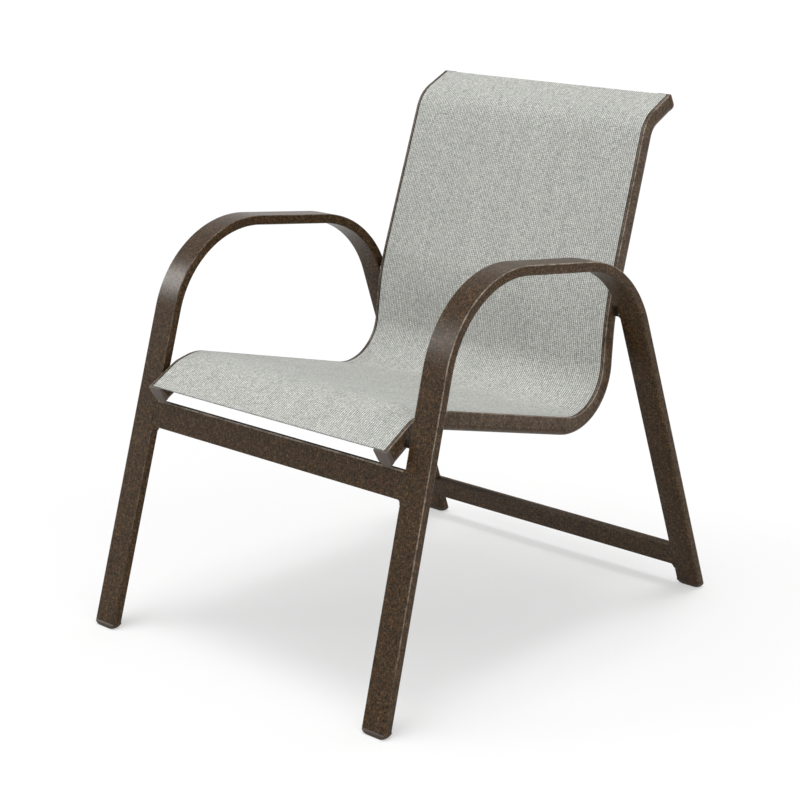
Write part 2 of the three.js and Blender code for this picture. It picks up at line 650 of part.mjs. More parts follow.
const rearWay = along(corner([HALF_DEPTH, GLIDE_THICKNESS]), corner(ARM_REAR));
const rearFront = [HALF_DEPTH - FRAME_THICKNESS / rearWay[1], GLIDE_THICKNESS];
const rearFrontTop = [rearFront[0] + rearWay[0], rearFront[1] + rearWay[1]];
const frontFoot = [-HALF_DEPTH, GLIDE_THICKNESS];
crossRail("front_cross_rail", FRONT_RAIL_WIDTH, RAIL_FRONT[1] - FRONT_RAIL_DROP, frontFoot, ARM_FRONT);
crossRail("rear_cross_rail", REAR_RAIL_WIDTH, REAR_RAIL_BOTTOM_Z, rearFront, rearFrontTop);

spreaderPlaces.forEach(([y, z], i) => {
  const end = SIDE_INNER_X - CONTACT_GAP * 2 - PLUG_FLANGE;
  const rows = [
    [-end, SPREADER_RADIUS - SPREADER_WALL],
    [-end, SPREADER_RADIUS],
    [end, SPREADER_RADIUS],
    [end, SPREADER_RADIUS - SPREADER_WALL],
  ];
  addNode(`${SPREADER_NAMES[i]}_spreader`, "frame_bronze", turnedRing(y, z, rows, 16));
});

addNode(
  "sling",
  "sling_mesh",
  skin(pathFrames(railPlaces, 1).map((frame) => ({ ...frame, rings: [slingRing()] }))),
);

export default root;
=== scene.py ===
"""Looks of the sling patio chair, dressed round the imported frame."""

from collections import namedtuple
from math import atan2, cos, degrees, dist, exp, hypot, pi, radians, sin, sqrt, tan

import bmesh
import bpy
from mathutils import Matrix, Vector


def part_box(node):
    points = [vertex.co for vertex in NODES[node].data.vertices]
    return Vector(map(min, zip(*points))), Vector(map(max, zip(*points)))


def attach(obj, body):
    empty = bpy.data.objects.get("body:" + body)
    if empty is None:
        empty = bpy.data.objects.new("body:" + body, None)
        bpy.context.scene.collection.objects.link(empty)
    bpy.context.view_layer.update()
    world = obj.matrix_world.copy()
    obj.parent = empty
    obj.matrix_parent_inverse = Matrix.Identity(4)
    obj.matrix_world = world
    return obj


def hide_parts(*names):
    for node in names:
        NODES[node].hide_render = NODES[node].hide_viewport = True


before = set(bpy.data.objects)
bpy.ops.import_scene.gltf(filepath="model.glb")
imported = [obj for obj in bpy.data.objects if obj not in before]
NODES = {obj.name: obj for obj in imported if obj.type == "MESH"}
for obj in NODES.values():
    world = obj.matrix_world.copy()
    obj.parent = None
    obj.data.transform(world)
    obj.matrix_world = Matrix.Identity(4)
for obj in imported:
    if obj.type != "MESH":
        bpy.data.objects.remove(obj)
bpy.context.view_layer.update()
SIDES = (("left", -1), ("right", 1))
MM = 0.001

# Camera of the photograph: place and reach in metres, dip and turn in degrees, lens in millimetres
CAMERA_PLACE = (2.0951, -2.2914, 1.2536)
CAMERA_DIP = 16.11  # below the horizon
CAMERA_TURN = 42.717
CAMERA_LENS = 89.545
CAMERA_SENSOR = 36
CAMERA_REACH = 100

# Overall layout in millimetres, as in the CAD model
SEAT_HEIGHT = 440.5
HALF_DEPTH = 404.7
FRONT_LEG_LEAN = 180.7
REAR_LEG_LEAN = 216.7
ARM_FRONT_RISE = 215.5
ARM_REAR_RISE = 164
# Where the lines of the legs and the armrest meet: y and z
ARM_FRONT = (FRONT_LEG_LEAN - HALF_DEPTH, SEAT_HEIGHT + ARM_FRONT_RISE)
ARM_REAR = (HALF_DEPTH - REAR_LEG_LEAN, SEAT_HEIGHT + ARM_REAR_RISE)
FRONT_BEND_RADIUS = 175
REAR_BEND_RADIUS = 183
FRAME_OUTER_X = 306.5
SIDE_TOE = -0.0116  # each side comes in toward the rear by this share
SIDE_SPLAY = -0.0189  # and toward the top by this one

# Flat tubes of the frame
FRAME_WIDTH = 45.5
FRAME_INNER_X = FRAME_OUTER_X - FRAME_WIDTH
FRAME_THICKNESS = 16
FRAME_EDGE = 1.2  # radius along the outer face's two edges
FRAME_CORNER = 3.5  # radius along the inner face's two edges
FRONT_RAIL_WIDTH = 43.5
REAR_RAIL_WIDTH = 38.5
FRONT_RAIL_DROP = 72.4
REAR_RAIL_BOTTOM_Z = 36

# Sling rail
SPACER_SPACE = 11.9  # between a side frame and a sling rail
RAIL_WIDTH = 26
RAIL_OUTER_X = FRAME_INNER_X - SPACER_SPACE
RAIL_INNER_X = RAIL_OUTER_X - RAIL_WIDTH
RAIL_FRONT_INSET = 77
SEAT_NOSE_INSET = 130.1
SEAT_CREST_INSET = 170
SEAT_REAR_INSET = 227
BACK_LUMBAR_INSET = 209.7
BACK_CREST_INSET = 112.5
RAIL_TOP_INSET = 49.6
RAIL_FRONT_DROP = 40.6
SEAT_NOSE_DROP = 9.7
SEAT_REAR_DROP = 105.3
BACK_LUMBAR_RISE = 68.4
BACK_CREST_RISE = 365.9
RAIL_TOP_RISE = 396.9
NOSE_RADIUS = 50
CREST_RADIUS = 75
SEAT_REAR_RADIUS = 76
LUMBAR_RADIUS = 420
BACK_CREST_RADIUS = 58
FRONT_RAIL_BOTTOM_Z = SEAT_HEIGHT - RAIL_FRONT_DROP - FRONT_RAIL_DROP
RAIL_DEPTH = 29
SHOULDER_RADIUS = 2
CREST_RISE = 0.8  # the lip outside the slot stands this far above the top face
LIP_RADIUS = 1.5
SLOT_OUTER = 6.2
SLOT_WIDTH = 3
SLOT_OUTER_BEVEL = 0.5
SLOT_INNER_BEVEL = 0.3
CHANNEL_CENTRE = 10.9
CHANNEL_DEPTH = 7.6
CHANNEL_RADIUS = 5
PRESSED_DEPTH = 1.8  # added depth of the front end, pressed for its cap
PRESSED_RUN = (20, 90)  # lengths from the front end between which it fades

# Rail caps
CAP_COVER = 3
CAP_ROUND = 1.5  # radius round the cover's face
CAP_SKIRT = 4.2  # how far the skirt laps over the rail
CAP_TOP_LAP = 1.2  # lap over the rail's top, short of the sling
CAP_WALL = 0.6
CAP_SQUEEZE = 0.1  # the skirt's inside lies this far under the rail's surface
CAP_PROUD = 0.5  # its outside stands this far off the rail
CAP_TOP_DEPTH = 2.5  # what lies deeper counts as the rail's side
CAP_TOP_FROM = 4  # the short lap starts this far from the outer face

# Welds
WELD_STEP = 0.7  # spacing of the points round a seam
WELD_SIZES = (7.0, 1.2, 0.6, 0.12)  # under, over, behind and ahead of the cross rail
WELD_SINK = 1.0  # depth of the hidden side in the rail
WELD_REACH = 0.8  # how far the fillet runs into the leg
WELD_FACE_REACH = 1.2  # added to that on the outer face
WELD_FACE_LAP = 3.0  # the flush seam's lap onto the cross rail's outer face
WELD_FLUSH = 0.05  # the most that it stands off that face
WELD_RIPPLE = 0.05
WELD_RIPPLE_PITCH = 2.4
BEAD_FROM = -2.6  # the low bead behind, from the leg's inner face
BEAD_WIDTH = 5.0

# Fasteners and fittings
CONTACT_GAP = 0.3
BOLT_RADIUS = 3
BOLT_HEAD_RADIUS = 5.5
BOLT_HEAD_HEIGHT = 3.5
BOLT_FACE_RADIUS = 2.9
BOLT_DOME_SHARE = 0.86  # of the head's height
BOLT_CHAMFER = 0.8
SOCKET_SIZE = 4
SOCKET_DEPTH = 2
SOCKET_CHAMFER = 0.2
SOCKET_FLARE = 1.1
INSERT_GRIP = 9
INSERT_RADIUS = 4.5
INSERT_LENGTH = 11
INSERT_FLANGE = 1
INSERT_FLANGE_RADIUS = 6.5
INSERT_BEVEL = 0.3
INSERT_FACE_X = FRAME_INNER_X - CONTACT_GAP - INSERT_FLANGE
SPACER_RADIUS = 6
SPACER_BEVEL = 0.8
SPACER_BORE = BOLT_RADIUS + 0.2
SADDLE_WAY = Vector((0.2, 0.98))  # from the rear bolt up along the rail
SADDLE_LENGTH = 9.0
SADDLE_SLIMMING = 1.6
SPREADER_RADIUS = 8.5
SPREADER_WALL = 1.5
SPREADER_BEVEL = 0.3
PLUG_FLANGE = 2
PLUG_BEVEL = 0.4
PLUG_LENGTH = 16
PLUG_ROOT_RADIUS = 6.6
PLUG_TIP_RADIUS = 6.2
PLUG_PIN_RADIUS = 4
PLUG_PIN_REACH = 3.7
PLUG_PIN_BEVEL = 0.4
PLUG_PIN_TIP_RADIUS = 3.4

# Feet
GLIDE_THICKNESS = 8
SOLE_ROUND = 7.0  # height over which a foot rounds in to its sole
SOLE_INSET_ACROSS = 6.0
SOLE_INSET_DEEP = 1.2
FOOT_SWELL = 1.1  # how far the foot's outer face swells
FOOT_SIDE_SHARE = 0.1  # of that swell, on its two sides
FOOT_CORNER = 1.4
FOOT_CORNER_GROWTH = 4.6  # the most that the corners grow toward the sole
FOOT_CORNER_SHARES = (9, 0.45)  # for the sole's inset, and for each millimetre below the leg
FOOT_SEAM = 0.2  # the groove between foot and leg
FOOT_NECK = ((0.6, 0.0), (FOOT_SEAM, 0.04), (0.15, 0.3))  # distances below the leg, shares of the inset

# Sling
SLING_THICKNESS = 0.8
SLING_CLEARANCE = 0.3
SPLINE_RADIUS = 3
HEM_FROM_ANGLE = -55
HEM_TO_ANGLE = 215
NECK_SHARE = 0.35
TURN_INNER_RADIUS = 0.12  # where the sling turns out of the slot
TURN_OUTER_RADIUS = SLING_THICKNESS * 0.75
BULGE_INSET = 8  # the bulge starts this far in from the rail's outer face
FOLD_DEPTH = 14.0  # how far each end is turned under
FOLD_GAP = 0.25
FOLD_SIDE_INSET = 1.5
FOLD_END_INSET = 0.4
COLUMN_PITCH = 3.8  # one band of warp yarns
FLOAT_PITCH = 3.4  # one warp float and the weft crossing beside it
SEAM_INSET = 12.5  # the row of stitches, from the panel's end
STITCH_PITCH = 3.4
STITCH_CORE = 0.4  # half the thread's width, without its soft edge and with it
STITCH_EDGE = 0.7
PINCH_REACH = 1.8  # how far the cloth is drawn in beside the stitches and darkened there as painted shade

# Where the panel bulges: place and spread as shares of its length, and how far toward the sitter
BULGES = (
    (0.455, 0.075, 5.5),  # across the bend of seat and back
    (0.06, 0.05, -2.2),  # over the nose
    (0.93, 0.045, -1.6),  # over the back's crest
    (0.25, 0.12, -4.0),  # under the sitter
    (0.7, 0.14, -2.0),  # behind the sitter
)

# Painted light on the bronze coat: 1 is a pale painted highlight, -1 is dark painted shade
HIGHLIGHT_REACH = 1.9  # how far the painted highlight reaches from an edge
HIGHLIGHT_FADE = 1.1  # the last part of that reach, where it fades
INNER_HIGHLIGHT = 0.3  # on a side frame's edge toward the sitter
FOOT_HIGHLIGHT = 0.08
LEG_HIGHLIGHT, LEG_HIGHLIGHT_RUN = 0.62, (30, 210)  # painted highlight gained between two lengths
ARM_HIGHLIGHT, ARM_HIGHLIGHT_RUN = 0.3, (480, 600)
REAR_HIGHLIGHT_LOSS, REAR_HIGHLIGHT_SHARES = 0.75, (0.58, 0.74)
FACE_STOPS = (3.4, 2.6)  # points of a tube's outer face where the painted light may change, from its upper edge
SIDE_STOPS = (5.0, 6.0, 7.6, 8.6)  # and on the side next to it
TOP_FACE = 0.25  # nearer than this to a cross rail's top edge counts as its top
FRONT_LINE, FRONT_LINE_HIGHLIGHT = 2.7, 0.7  # painted highlight line along the front rail's upper edge
REAR_LINE, REAR_LINE_HIGHLIGHT, REAR_LINE_DEPTH = 1.6, 0.4, 12.4  # and along the rear rail's far upper edge
# Painted shade on the rear rail's top face, to this depth
TOP_SHADE, TOP_SHADE_DEPTH = -0.75, 9
RIGHT_LOSS, RIGHT_LOSS_RUN = 0.7, (-140, 80)  # the rear rail's painted shade and painted highlight grow weaker toward its right
# Painted light on the sling rail's outer side
SIDE_LIGHT = 0.1
SIDE_EDGE = 0.5  # the rim of a face that counts as its side
LIP_EDGE = 0.3  # deeper than this, the slot's walls are all dark with painted shade
SHOULDER_MARKS = ((0.0, 0.15), (0.6, 0.9), (1.4, 0.9))  # p and painted light across the sling rail's top: above 0 a highlight, below 0 shade
CREST_MARKS = ((2.2, 0.1), (2.8, -0.5), (3.6, 0.3), (4.4, 0.75), (5.2, 0.1))
SLOT_MARKS = ((5.7, -1.0), (6.3, -1.0))

# Fineness
BEND_STEP = radians(1.6)
STRAIGHT_STEP = 30.0
EDGE_STEPS = 5
WELD_STEPS = 8
RAIL_ROUND_STEPS = 22
CAP_ROUND_STEPS = 28
CHANNEL_STEPS = 18
SHOULDER_STEPS = 6
CROSS_RAIL_STEPS = 24
DOME_STEPS = 8
TURNED_STEPS = 48
SPREADER_STEPS = 56
SPREADER_RUNS = 24
SOLE_STEPS = 12
FOOT_CORNER_STEPS = 7
HEM_STEPS = 26
TURN_STEPS = 4
ACROSS_STEPS = 64
FOLD_STEPS = 10

# Where the straight lines of the sling rail's top face meet: y, z and bend radius
RAIL_CORNERS = [
    (RAIL_FRONT_INSET - HALF_DEPTH, SEAT_HEIGHT - RAIL_FRONT_DROP, 0),
    (SEAT_NOSE_INSET - HALF_DEPTH, SEAT_HEIGHT - SEAT_NOSE_DROP, NOSE_RADIUS),
    (SEAT_CREST_INSET - HALF_DEPTH, SEAT_HEIGHT, CREST_RADIUS),
    (HALF_DEPTH - SEAT_REAR_INSET, SEAT_HEIGHT - SEAT_REAR_DROP, SEAT_REAR_RADIUS),
    (HALF_DEPTH - BACK_LUMBAR_INSET, SEAT_HEIGHT + BACK_LUMBAR_RISE, LUMBAR_RADIUS),
    (HALF_DEPTH - BACK_CREST_INSET, SEAT_HEIGHT + BACK_CREST_RISE, BACK_CREST_RADIUS),
    (HALF_DEPTH - RAIL_TOP_INSET, SEAT_HEIGHT + RAIL_TOP_RISE, 0),
]


def new_object(name, data):
    """An object in the scene."""
    obj = bpy.data.objects.new(name, data)
    bpy.context.scene.collection.objects.link(obj)
    return obj


def photo_camera():
    data = bpy.data.cameras.new("camera")
    data.sensor_width = CAMERA_SENSOR
    data.lens = CAMERA_LENS
    data.clip_end = CAMERA_REACH
    camera = new_object("camera", data)
    camera.location = CAMERA_PLACE
    camera.rotation_euler = (radians(90 - CAMERA_DIP), 0, radians(CAMERA_TURN))
    bpy.context.scene.camera = camera


photo_camera()


# Outlines and paths
def lean(x, y, z):
    """Each side leans in toward the top and the rear."""
    share = max(-1.0, min(1.0, x / RAIL_INNER_X))
    return (x + share * (SIDE_TOE * y + SIDE_SPLAY * (z - ARM_FRONT[1])), y, z)


def rise_to(x, low, high):
    """0 up to low, 1 from high on, smooth between."""
    share = max(0.0, min(1.0, (x - low) / (high - low)))
    return share * share * (3 - 2 * share)


def arc(p, v, radius, start, end, steps):
    turns = [radians(start + (end - start) * i / steps) for i in range(steps + 1)]
    return [(p + radius * cos(a), v + radius * sin(a)) for a in turns]


def quarter(steps):
    """Angles of a quarter turn, from 0 on."""
    return [radians(90 * k / steps) for k in range(steps + 1)]


def signed_area(ring):
    following = ring[1:] + ring[:1]
    return sum(p * w - q * v for (p, v), (q, w) in zip(ring, following)) / 2


def outline(ring):
    """The ring's points, always running the same way round."""
    return list(reversed(ring)) if signed_area(ring) < 0 else list(ring)


def rounded_rectangle(p0, v0, p1, v1, radius, steps):
    return outline(
        arc(p1 - radius, v1 - radius, radius, 0, 90, steps)
        + arc(p0 + radius, v1 - radius, radius, 90, 180, steps)
        + arc(p0 + radius, v0 + radius, radius, 180, 270, steps)
        + arc(p1 - radius, v0 + radius, radius, 270, 360, steps)
    )


def tube_section(width, steps=EDGE_STEPS):
    """Flat tube: crisp edges on the outer face, softer ones on the inner face."""
    depth, soft, crisp = FRAME_THICKNESS, FRAME_CORNER, FRAME_EDGE
    return outline(
        arc(width - soft, depth - soft, soft, 0, 90, steps)
        + arc(soft, depth - soft, soft, 90, 180, steps)
        + [(0, HIGHLIGHT_REACH)]
        + arc(crisp, crisp, crisp, 180, 270, steps)
        + [(HIGHLIGHT_REACH, 0)]
        + [(width - inset, 0) for inset in (*FACE_STOPS, HIGHLIGHT_REACH)]
        + arc(width - crisp, crisp, crisp, 270, 360, steps)
        + [(width, v) for v in (HIGHLIGHT_REACH, *SIDE_STOPS)]
    )


def bent_path(corners):
    """Places (y, z) along straight runs and round bends, close enough to look smooth."""
    pts = [Vector(c[:2]) for c in corners]
    places = [pts[0]]

    def run_to(target):
        start = places[-1].copy()
        n = max(1, round((target - start).length / STRAIGHT_STEP))
        places.extend(start.lerp(target, k / n) for k in range(1, n + 1))

    for i in range(1, len(corners) - 1):
        here, radius = pts[i], corners[i][2]
        back = (pts[i - 1] - here).normalized()
        ahead = (pts[i + 1] - here).normalized()
        turn = pi - back.angle(ahead)
        reach = radius * tan(turn / 2)
        centre = here + (back + ahead).normalized() * (radius / cos(turn / 2))
        start = here + back * reach
        run_to(start)
        spoke = start - centre
        end = here + ahead * reach - centre
        sense = 1 if spoke.x * end.y - spoke.y * end.x > 0 else -1
        n = max(3, round(turn / BEND_STEP))
        for k in range(1, n + 1):
            a = sense * turn * k / n
            places.append(centre + Vector((
                spoke.x * cos(a) - spoke.y * sin(a),
                spoke.x * sin(a) + spoke.y * cos(a),
            )))
    run_to(pts[-1])
    return places


# A place on a path: its way there, how far the mitred section stretches, and the length run so far
Stop = namedtuple("Stop", "y z way stretch run")


def path_stops(places):
    out, run = [], 0.0
    for i, place in enumerate(places):
        ways = []
        if i > 0:
            ways.append((place - places[i - 1]).normalized())
            run += (place - places[i - 1]).length
        if i + 1 < len(places):
            ways.append((places[i + 1] - place).normalized())
        way = sum(ways, Vector((0, 0))).normalized()
        out.append(Stop(place.x, place.y, way, 1 / way.dot(ways[0]), run))
    return out


def place_at(places, length):
    """The place and the way at a length along a path."""
    left = length
    for a, b in zip(places, places[1:]):
        step = (b - a).length
        if left <= step or b is places[-1]:
            way = (b - a).normalized()
            return a + way * left, way
        left -= step


def level_depth(way):
    """Depth of a leaning leg's section where it is cut level, for each unit of its own depth."""
    return way.y + way.x * way.x / way.y


FRAME_STOPS = path_stops(bent_path([
    (-HALF_DEPTH, GLIDE_THICKNESS, 0),
    (*ARM_FRONT, FRONT_BEND_RADIUS),
    (*ARM_REAR, REAR_BEND_RADIUS),
    (HALF_DEPTH, GLIDE_THICKNESS, 0),
]))
RAIL_PLACES = bent_path(RAIL_CORNERS)
RAIL_STOPS = path_stops(RAIL_PLACES)
RAIL_LENGTH = RAIL_STOPS[-1].run


# Mesh making
def new_piece(name, verts, faces, material, nodes=(), uvs=None, sharp=34, painted_light_and_shade=None):
    """A piece from points in millimetres; it rides on the root and stands for the named nodes."""
    mesh = bpy.data.meshes.new(name)
    mesh.from_pydata([[c * MM for c in lean(*v)] for v in verts], [], faces)
    if uvs:
        layer = mesh.uv_layers.new(name="weave")
        for loop, corner in zip(mesh.loops, layer.data):
            corner.uv = uvs[loop.vertex_index]
    # Painted highlight (above 0) and painted shade (below 0) for the bronze coat, one value per point
    if painted_light_and_shade:
        layer = mesh.attributes.new("painted_light_and_shade", "FLOAT", "POINT")
        layer.data.foreach_set("value", painted_light_and_shade)
    mesh.validate()
    mesh.materials.append(material)
    obj = new_object(name, mesh)
    fix_normals(mesh)
    smooth(mesh, sharp)
    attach(obj, "root")
    if nodes:
        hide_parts(*nodes)
    return obj


def fix_normals(mesh):
    bm = bmesh.new()
    bm.from_mesh(mesh)
    bmesh.ops.recalc_face_normals(bm, faces=bm.faces)
    bm.to_mesh(mesh)
    bm.free()


def smooth(mesh, sharp):
    for poly in mesh.polygons:
        poly.use_smooth = True
    mesh.set_sharp_from_angle(angle=radians(sharp))


def skin(rings, loop=False, caps=True):
    """Points and faces of a skin through equal closed rings, with end caps unless the rings loop."""
    n, count = len(rings[0]), len(rings)
    verts = [point for ring in rings for point in ring]
    faces = []
    for s in range(count if loop else count - 1):
        a, b = s * n, ((s + 1) % count) * n
        for i in range(n):
            j = (i + 1) % n
            faces.append((a + i, a + j, b + j, b + i))
    if caps and not loop:
        faces.append(tuple(range(n)))
        faces.append(tuple(reversed(range((count - 1) * n, count * n))))
    return verts, faces


def sheet_skin(rings):
    """A skin through long thin rings, its two ends closed by strips from side to side."""
    verts, faces = skin(rings, caps=False)
    n = len(rings[0])
    for start in (0, (len(rings) - 1) * n):
        for i in range(n // 2 - 1):
            faces.append((start + i, start + i + 1, start + n - 2 - i, start + n - 1 - i))
    return verts, faces


def swept(stops, sections, outer_x, side):
    """Rings along a path; a section's p runs inward from outer_x, and its v to the right of the way."""
    rings = []
    for (y, z, way, stretch, run), section in zip(stops, sections):
        dy, dz = way.y * stretch, -way.x * stretch
        rings.append([(side * (outer_x - p), y + dy * v, z + dz * v) for p, v in section])
    return rings


def lathe(y, z, rows, count, loop):
    """A round body along X through rows of x and radius."""
    turns = [2 * pi * k / count for k in range(count)]
    return skin([[(x, y + r * cos(a), z + r * sin(a)) for a in turns] for x, r in rows], loop)


# Materials
MIX_A, MIX_B, MIX_RESULT = 6, 7, 2  # the Mix node's colour sockets


class Nodes:
    """The emptied node tree of a material or a world, and small helpers to fill it."""

    def __init__(self, owner):
        owner.use_nodes = True
        self.tree = owner.node_tree
        self.tree.nodes.clear()

    def add(self, kind, **props):
        n = self.tree.nodes.new(kind)
        for key, value in props.items():
            setattr(n, key, value)
        return n

    def link(self, a, b):
        self.tree.links.new(a, b)

    def put(self, socket, value):
        """Feeds a socket from another node, or sets its number or colour."""
        if isinstance(value, bpy.types.NodeSocket):
            self.link(value, socket)
        else:
            socket.default_value = (*value, 1) if isinstance(value, tuple) else value

    def math(self, op, *values, **props):
        n = self.add("ShaderNodeMath", operation=op, **props)
        for socket, value in zip(n.inputs, values):
            self.put(socket, value)
        return n.outputs[0]

    def plus(self, a, b):
        return self.math("ADD", a, b)

    def minus(self, a, b):
        return self.math("SUBTRACT", a, b)

    def times(self, a, b):
        return self.math("MULTIPLY", a, b)

    def power(self, a, b):
        return self.math("POWER", a, b)

    def greater(self, a, b):
        return self.math("MAXIMUM", a, b)

    def unsigned(self, a):
        return self.math("ABSOLUTE", a)

    def noise(self, vector, dims="3D", **settings):
        n = self.add("ShaderNodeTexNoise", noise_dimensions=dims)
        self.put(n.inputs["Vector"], vector)
        for key, value in settings.items():
            n.inputs[key.capitalize()].default_value = value
        return n.outputs["Fac"]

    def random(self, *place):
        """A fixed random value for each place of one or two whole numbers."""
        n = self.add("ShaderNodeTexWhiteNoise", noise_dimensions=f"{len(place)}D")
        if len(place) == 1:
            self.link(place[0], n.inputs["W"])
            return n.outputs["Value"]
        joined = self.add("ShaderNodeCombineXYZ")
        for value, socket in zip(place, joined.inputs):
            self.link(value, socket)
        self.link(joined.outputs[0], n.inputs["Vector"])
        return n.outputs["Value"]

    def ramp(self, fac, levels, colors):
        n = self.add("ShaderNodeValToRGB")
        elements = n.color_ramp.elements
        while len(elements) < len(levels):
            elements.new(0.5)
        for element, level, color in zip(elements, levels, colors):
            element.position = level
            element.color = (*color, 1)
        self.put(n.inputs["Fac"], fac)
        return n.outputs["Color"]

    def grey(self, fac, low, high, a=0.0, b=1.0):
        """Maps fac from low..high to a..b, held at the ends."""
        n = self.add("ShaderNodeMapRange", clamp=True)
        for socket, value in zip(n.inputs, (fac, low, high, a, b)):
            self.put(socket, value)
        return n.outputs[0]

    def mix(self, fac, a, b):
        n = self.add("ShaderNodeMix", data_type="RGBA")
        self.put(n.inputs["Factor"], fac)
        self.put(n.inputs[MIX_A], a)
        self.put(n.inputs[MIX_B], b)
        return n.outputs[MIX_RESULT]

    def scaled(self, color, share):
        n = self.add("ShaderNodeVectorMath", operation="SCALE")
        self.link(color, n.inputs[0])
        self.link(share, n.inputs["Scale"])
        return n.outputs[0]


class Shader(Nodes):
    """A material with a Principled surface."""

    def __init__(self, name):
        self.mat = bpy.data.materials.new(name)
        super().__init__(self.mat)
        self.out = self.add("ShaderNodeOutputMaterial")
        self.bsdf = self.add("ShaderNodeBsdfPrincipled")
        self.link(self.bsdf.outputs[0], self.out.inputs["Surface"])

    def bump(self, height, strength, distance):
        n = self.add("ShaderNodeBump")
        n.inputs["Strength"].default_value = strength
        n.inputs["Distance"].default_value = distance
        self.link(height, n.inputs["Height"])
        self.link(n.outputs[0], self.bsdf.inputs["Normal"])

    def surface(self, color, roughness, **sockets):
        self.put(self.bsdf.inputs["Base Color"], color)
        self.put(self.bsdf.inputs["Roughness"], roughness)
        for key, value in sockets.items():
            self.bsdf.inputs[key.replace("_", " ")].default_value = value


def srgb(r, g, b):
    """A colour in Blender's linear light, from its levels of 0 to 255."""
    def one(c):
        c /= 255
        return c / 12.92 if c <= 0.04045 else ((c + 0.055) / 1.055) ** 2.4

    return (one(r), one(g), one(b))


BRONZE_LEVELS = (0.38, 0.46, 0.53, 0.62)
WARM_BRONZE = (srgb(30, 18, 6), srgb(60, 40, 22), srgb(84, 60, 37), srgb(120, 94, 66))
OLIVE_BRONZE = (srgb(27, 21, 10), srgb(54, 42, 25), srgb(73, 57, 37), srgb(106, 87, 61))
FLECK = srgb(15, 10, 6)
# Colours of the painted highlight and the painted shade on the bronze coat
PAINTED_HIGHLIGHT = srgb(168, 155, 141)
PAINTED_SHADE = srgb(14, 10, 7)
# Weave colours by yarn height: the yarns' own pale colour on the floats, painted shade in the dips
YARN_LEVELS = (0.1, 0.4, 0.7, 0.95)
YARN_AND_DIP_SHADE_COLORS = (srgb(94, 96, 92), srgb(158, 160, 155), srgb(200, 201, 195), srgb(226, 227, 221))
THREAD = srgb(206, 205, 196)


def powder_coat():
    """Mottled dark bronze coat with near-black flecks, with a painted highlight along its edges and
    painted shade where the attribute is below 0.
    """
    s = Shader("bronze powder coat")
    at = s.add("ShaderNodeTexCoord").outputs["Object"]
    painted_light_fac = s.add("ShaderNodeAttribute", attribute_name="painted_light_and_shade").outputs["Fac"]
    broad = s.noise(at, scale=45, detail=3, roughness=0.6)
    hue = s.noise(at, scale=150, detail=3, roughness=0.6)
    patch = s.noise(at, scale=240, detail=4, roughness=0.7, distortion=0.6)
    fine = s.noise(at, scale=520, detail=3, roughness=0.65, distortion=0.4)
    fleck = s.noise(at, scale=430, detail=3, roughness=0.6, distortion=1.0)
    grit = s.noise(at, scale=1500, detail=2, roughness=0.6)
    blend = s.plus(s.times(patch, 0.5), s.times(fine, 0.5))
    warm = s.ramp(blend, BRONZE_LEVELS, WARM_BRONZE)
    olive = s.ramp(blend, BRONZE_LEVELS, OLIVE_BRONZE)
    brown = s.scaled(s.mix(s.grey(hue, 0.42, 0.58), warm, olive), s.grey(broad, 0.3, 0.7, 0.83, 1.03))
    color = s.mix(s.grey(fleck, 0.41, 0.44, 0.97, 0.0), brown, FLECK)
    # Painted highlight where the attribute is above 0, broken up by patches
    broken = s.times(s.grey(patch, 0.36, 0.6, 0.35, 1.0), s.grey(broad, 0.38, 0.56, 0.35, 1.0))
    color = s.mix(s.times(s.greater(painted_light_fac, 0.0), broken), color, PAINTED_HIGHLIGHT)
    # Painted shade where the attribute is below 0, made rougher there too
    painted_shade_share = s.times(s.greater(s.times(painted_light_fac, -1.0), 0.0), 0.93)
    color = s.mix(painted_shade_share, color, PAINTED_SHADE)
    roughness = s.greater(s.grey(fine, 0.35, 0.65, 0.38, 0.26), painted_shade_share)
    s.surface(color, roughness, IOR=1.5, Specular_IOR_Level=0.13)
    s.bump(s.plus(s.times(grit, 0.4), s.times(fine, 0.9)), strength=0.35, distance=0.0003)
    return s.mat


def moulded_plastic(name, color, shade, roughness):
    s = Shader(name)
    at = s.add("ShaderNodeTexCoord").outputs["Object"]
    soft = s.noise(at, scale=90, detail=3, roughness=0.6)
    grain = s.noise(at, scale=1700, detail=2, roughness=0.55)
    mottled = s.mix(s.grey(soft, 0.3, 0.7), color, shade)
    uneven = s.grey(soft, 0.3, 0.7, roughness - 0.05, roughness + 0.06)
    s.surface(mottled, uneven, IOR=1.46, Specular_IOR_Level=0.25)
    s.bump(grain, strength=0.2, distance=0.00012)
    return s.mat


def brushed_steel():
    """Steel with fine lines round the turned pieces."""
    s = Shader("plain steel")
    stretch = s.add("ShaderNodeMapping")
    s.link(s.add("ShaderNodeTexCoord").outputs["Object"], stretch.inputs["Vector"])
    stretch.inputs["Scale"].default_value = (1, 14, 14)
    lines = s.noise(stretch.outputs[0], scale=240, detail=3, roughness=0.6)
    color = s.mix(s.grey(lines, 0.3, 0.7), srgb(168, 166, 162), srgb(196, 195, 192))
    s.surface(color, s.grey(lines, 0.3, 0.7, 0.3, 0.46), Metallic=1.0)
    s.bump(lines, strength=0.12, distance=0.0001)
    return s.mat


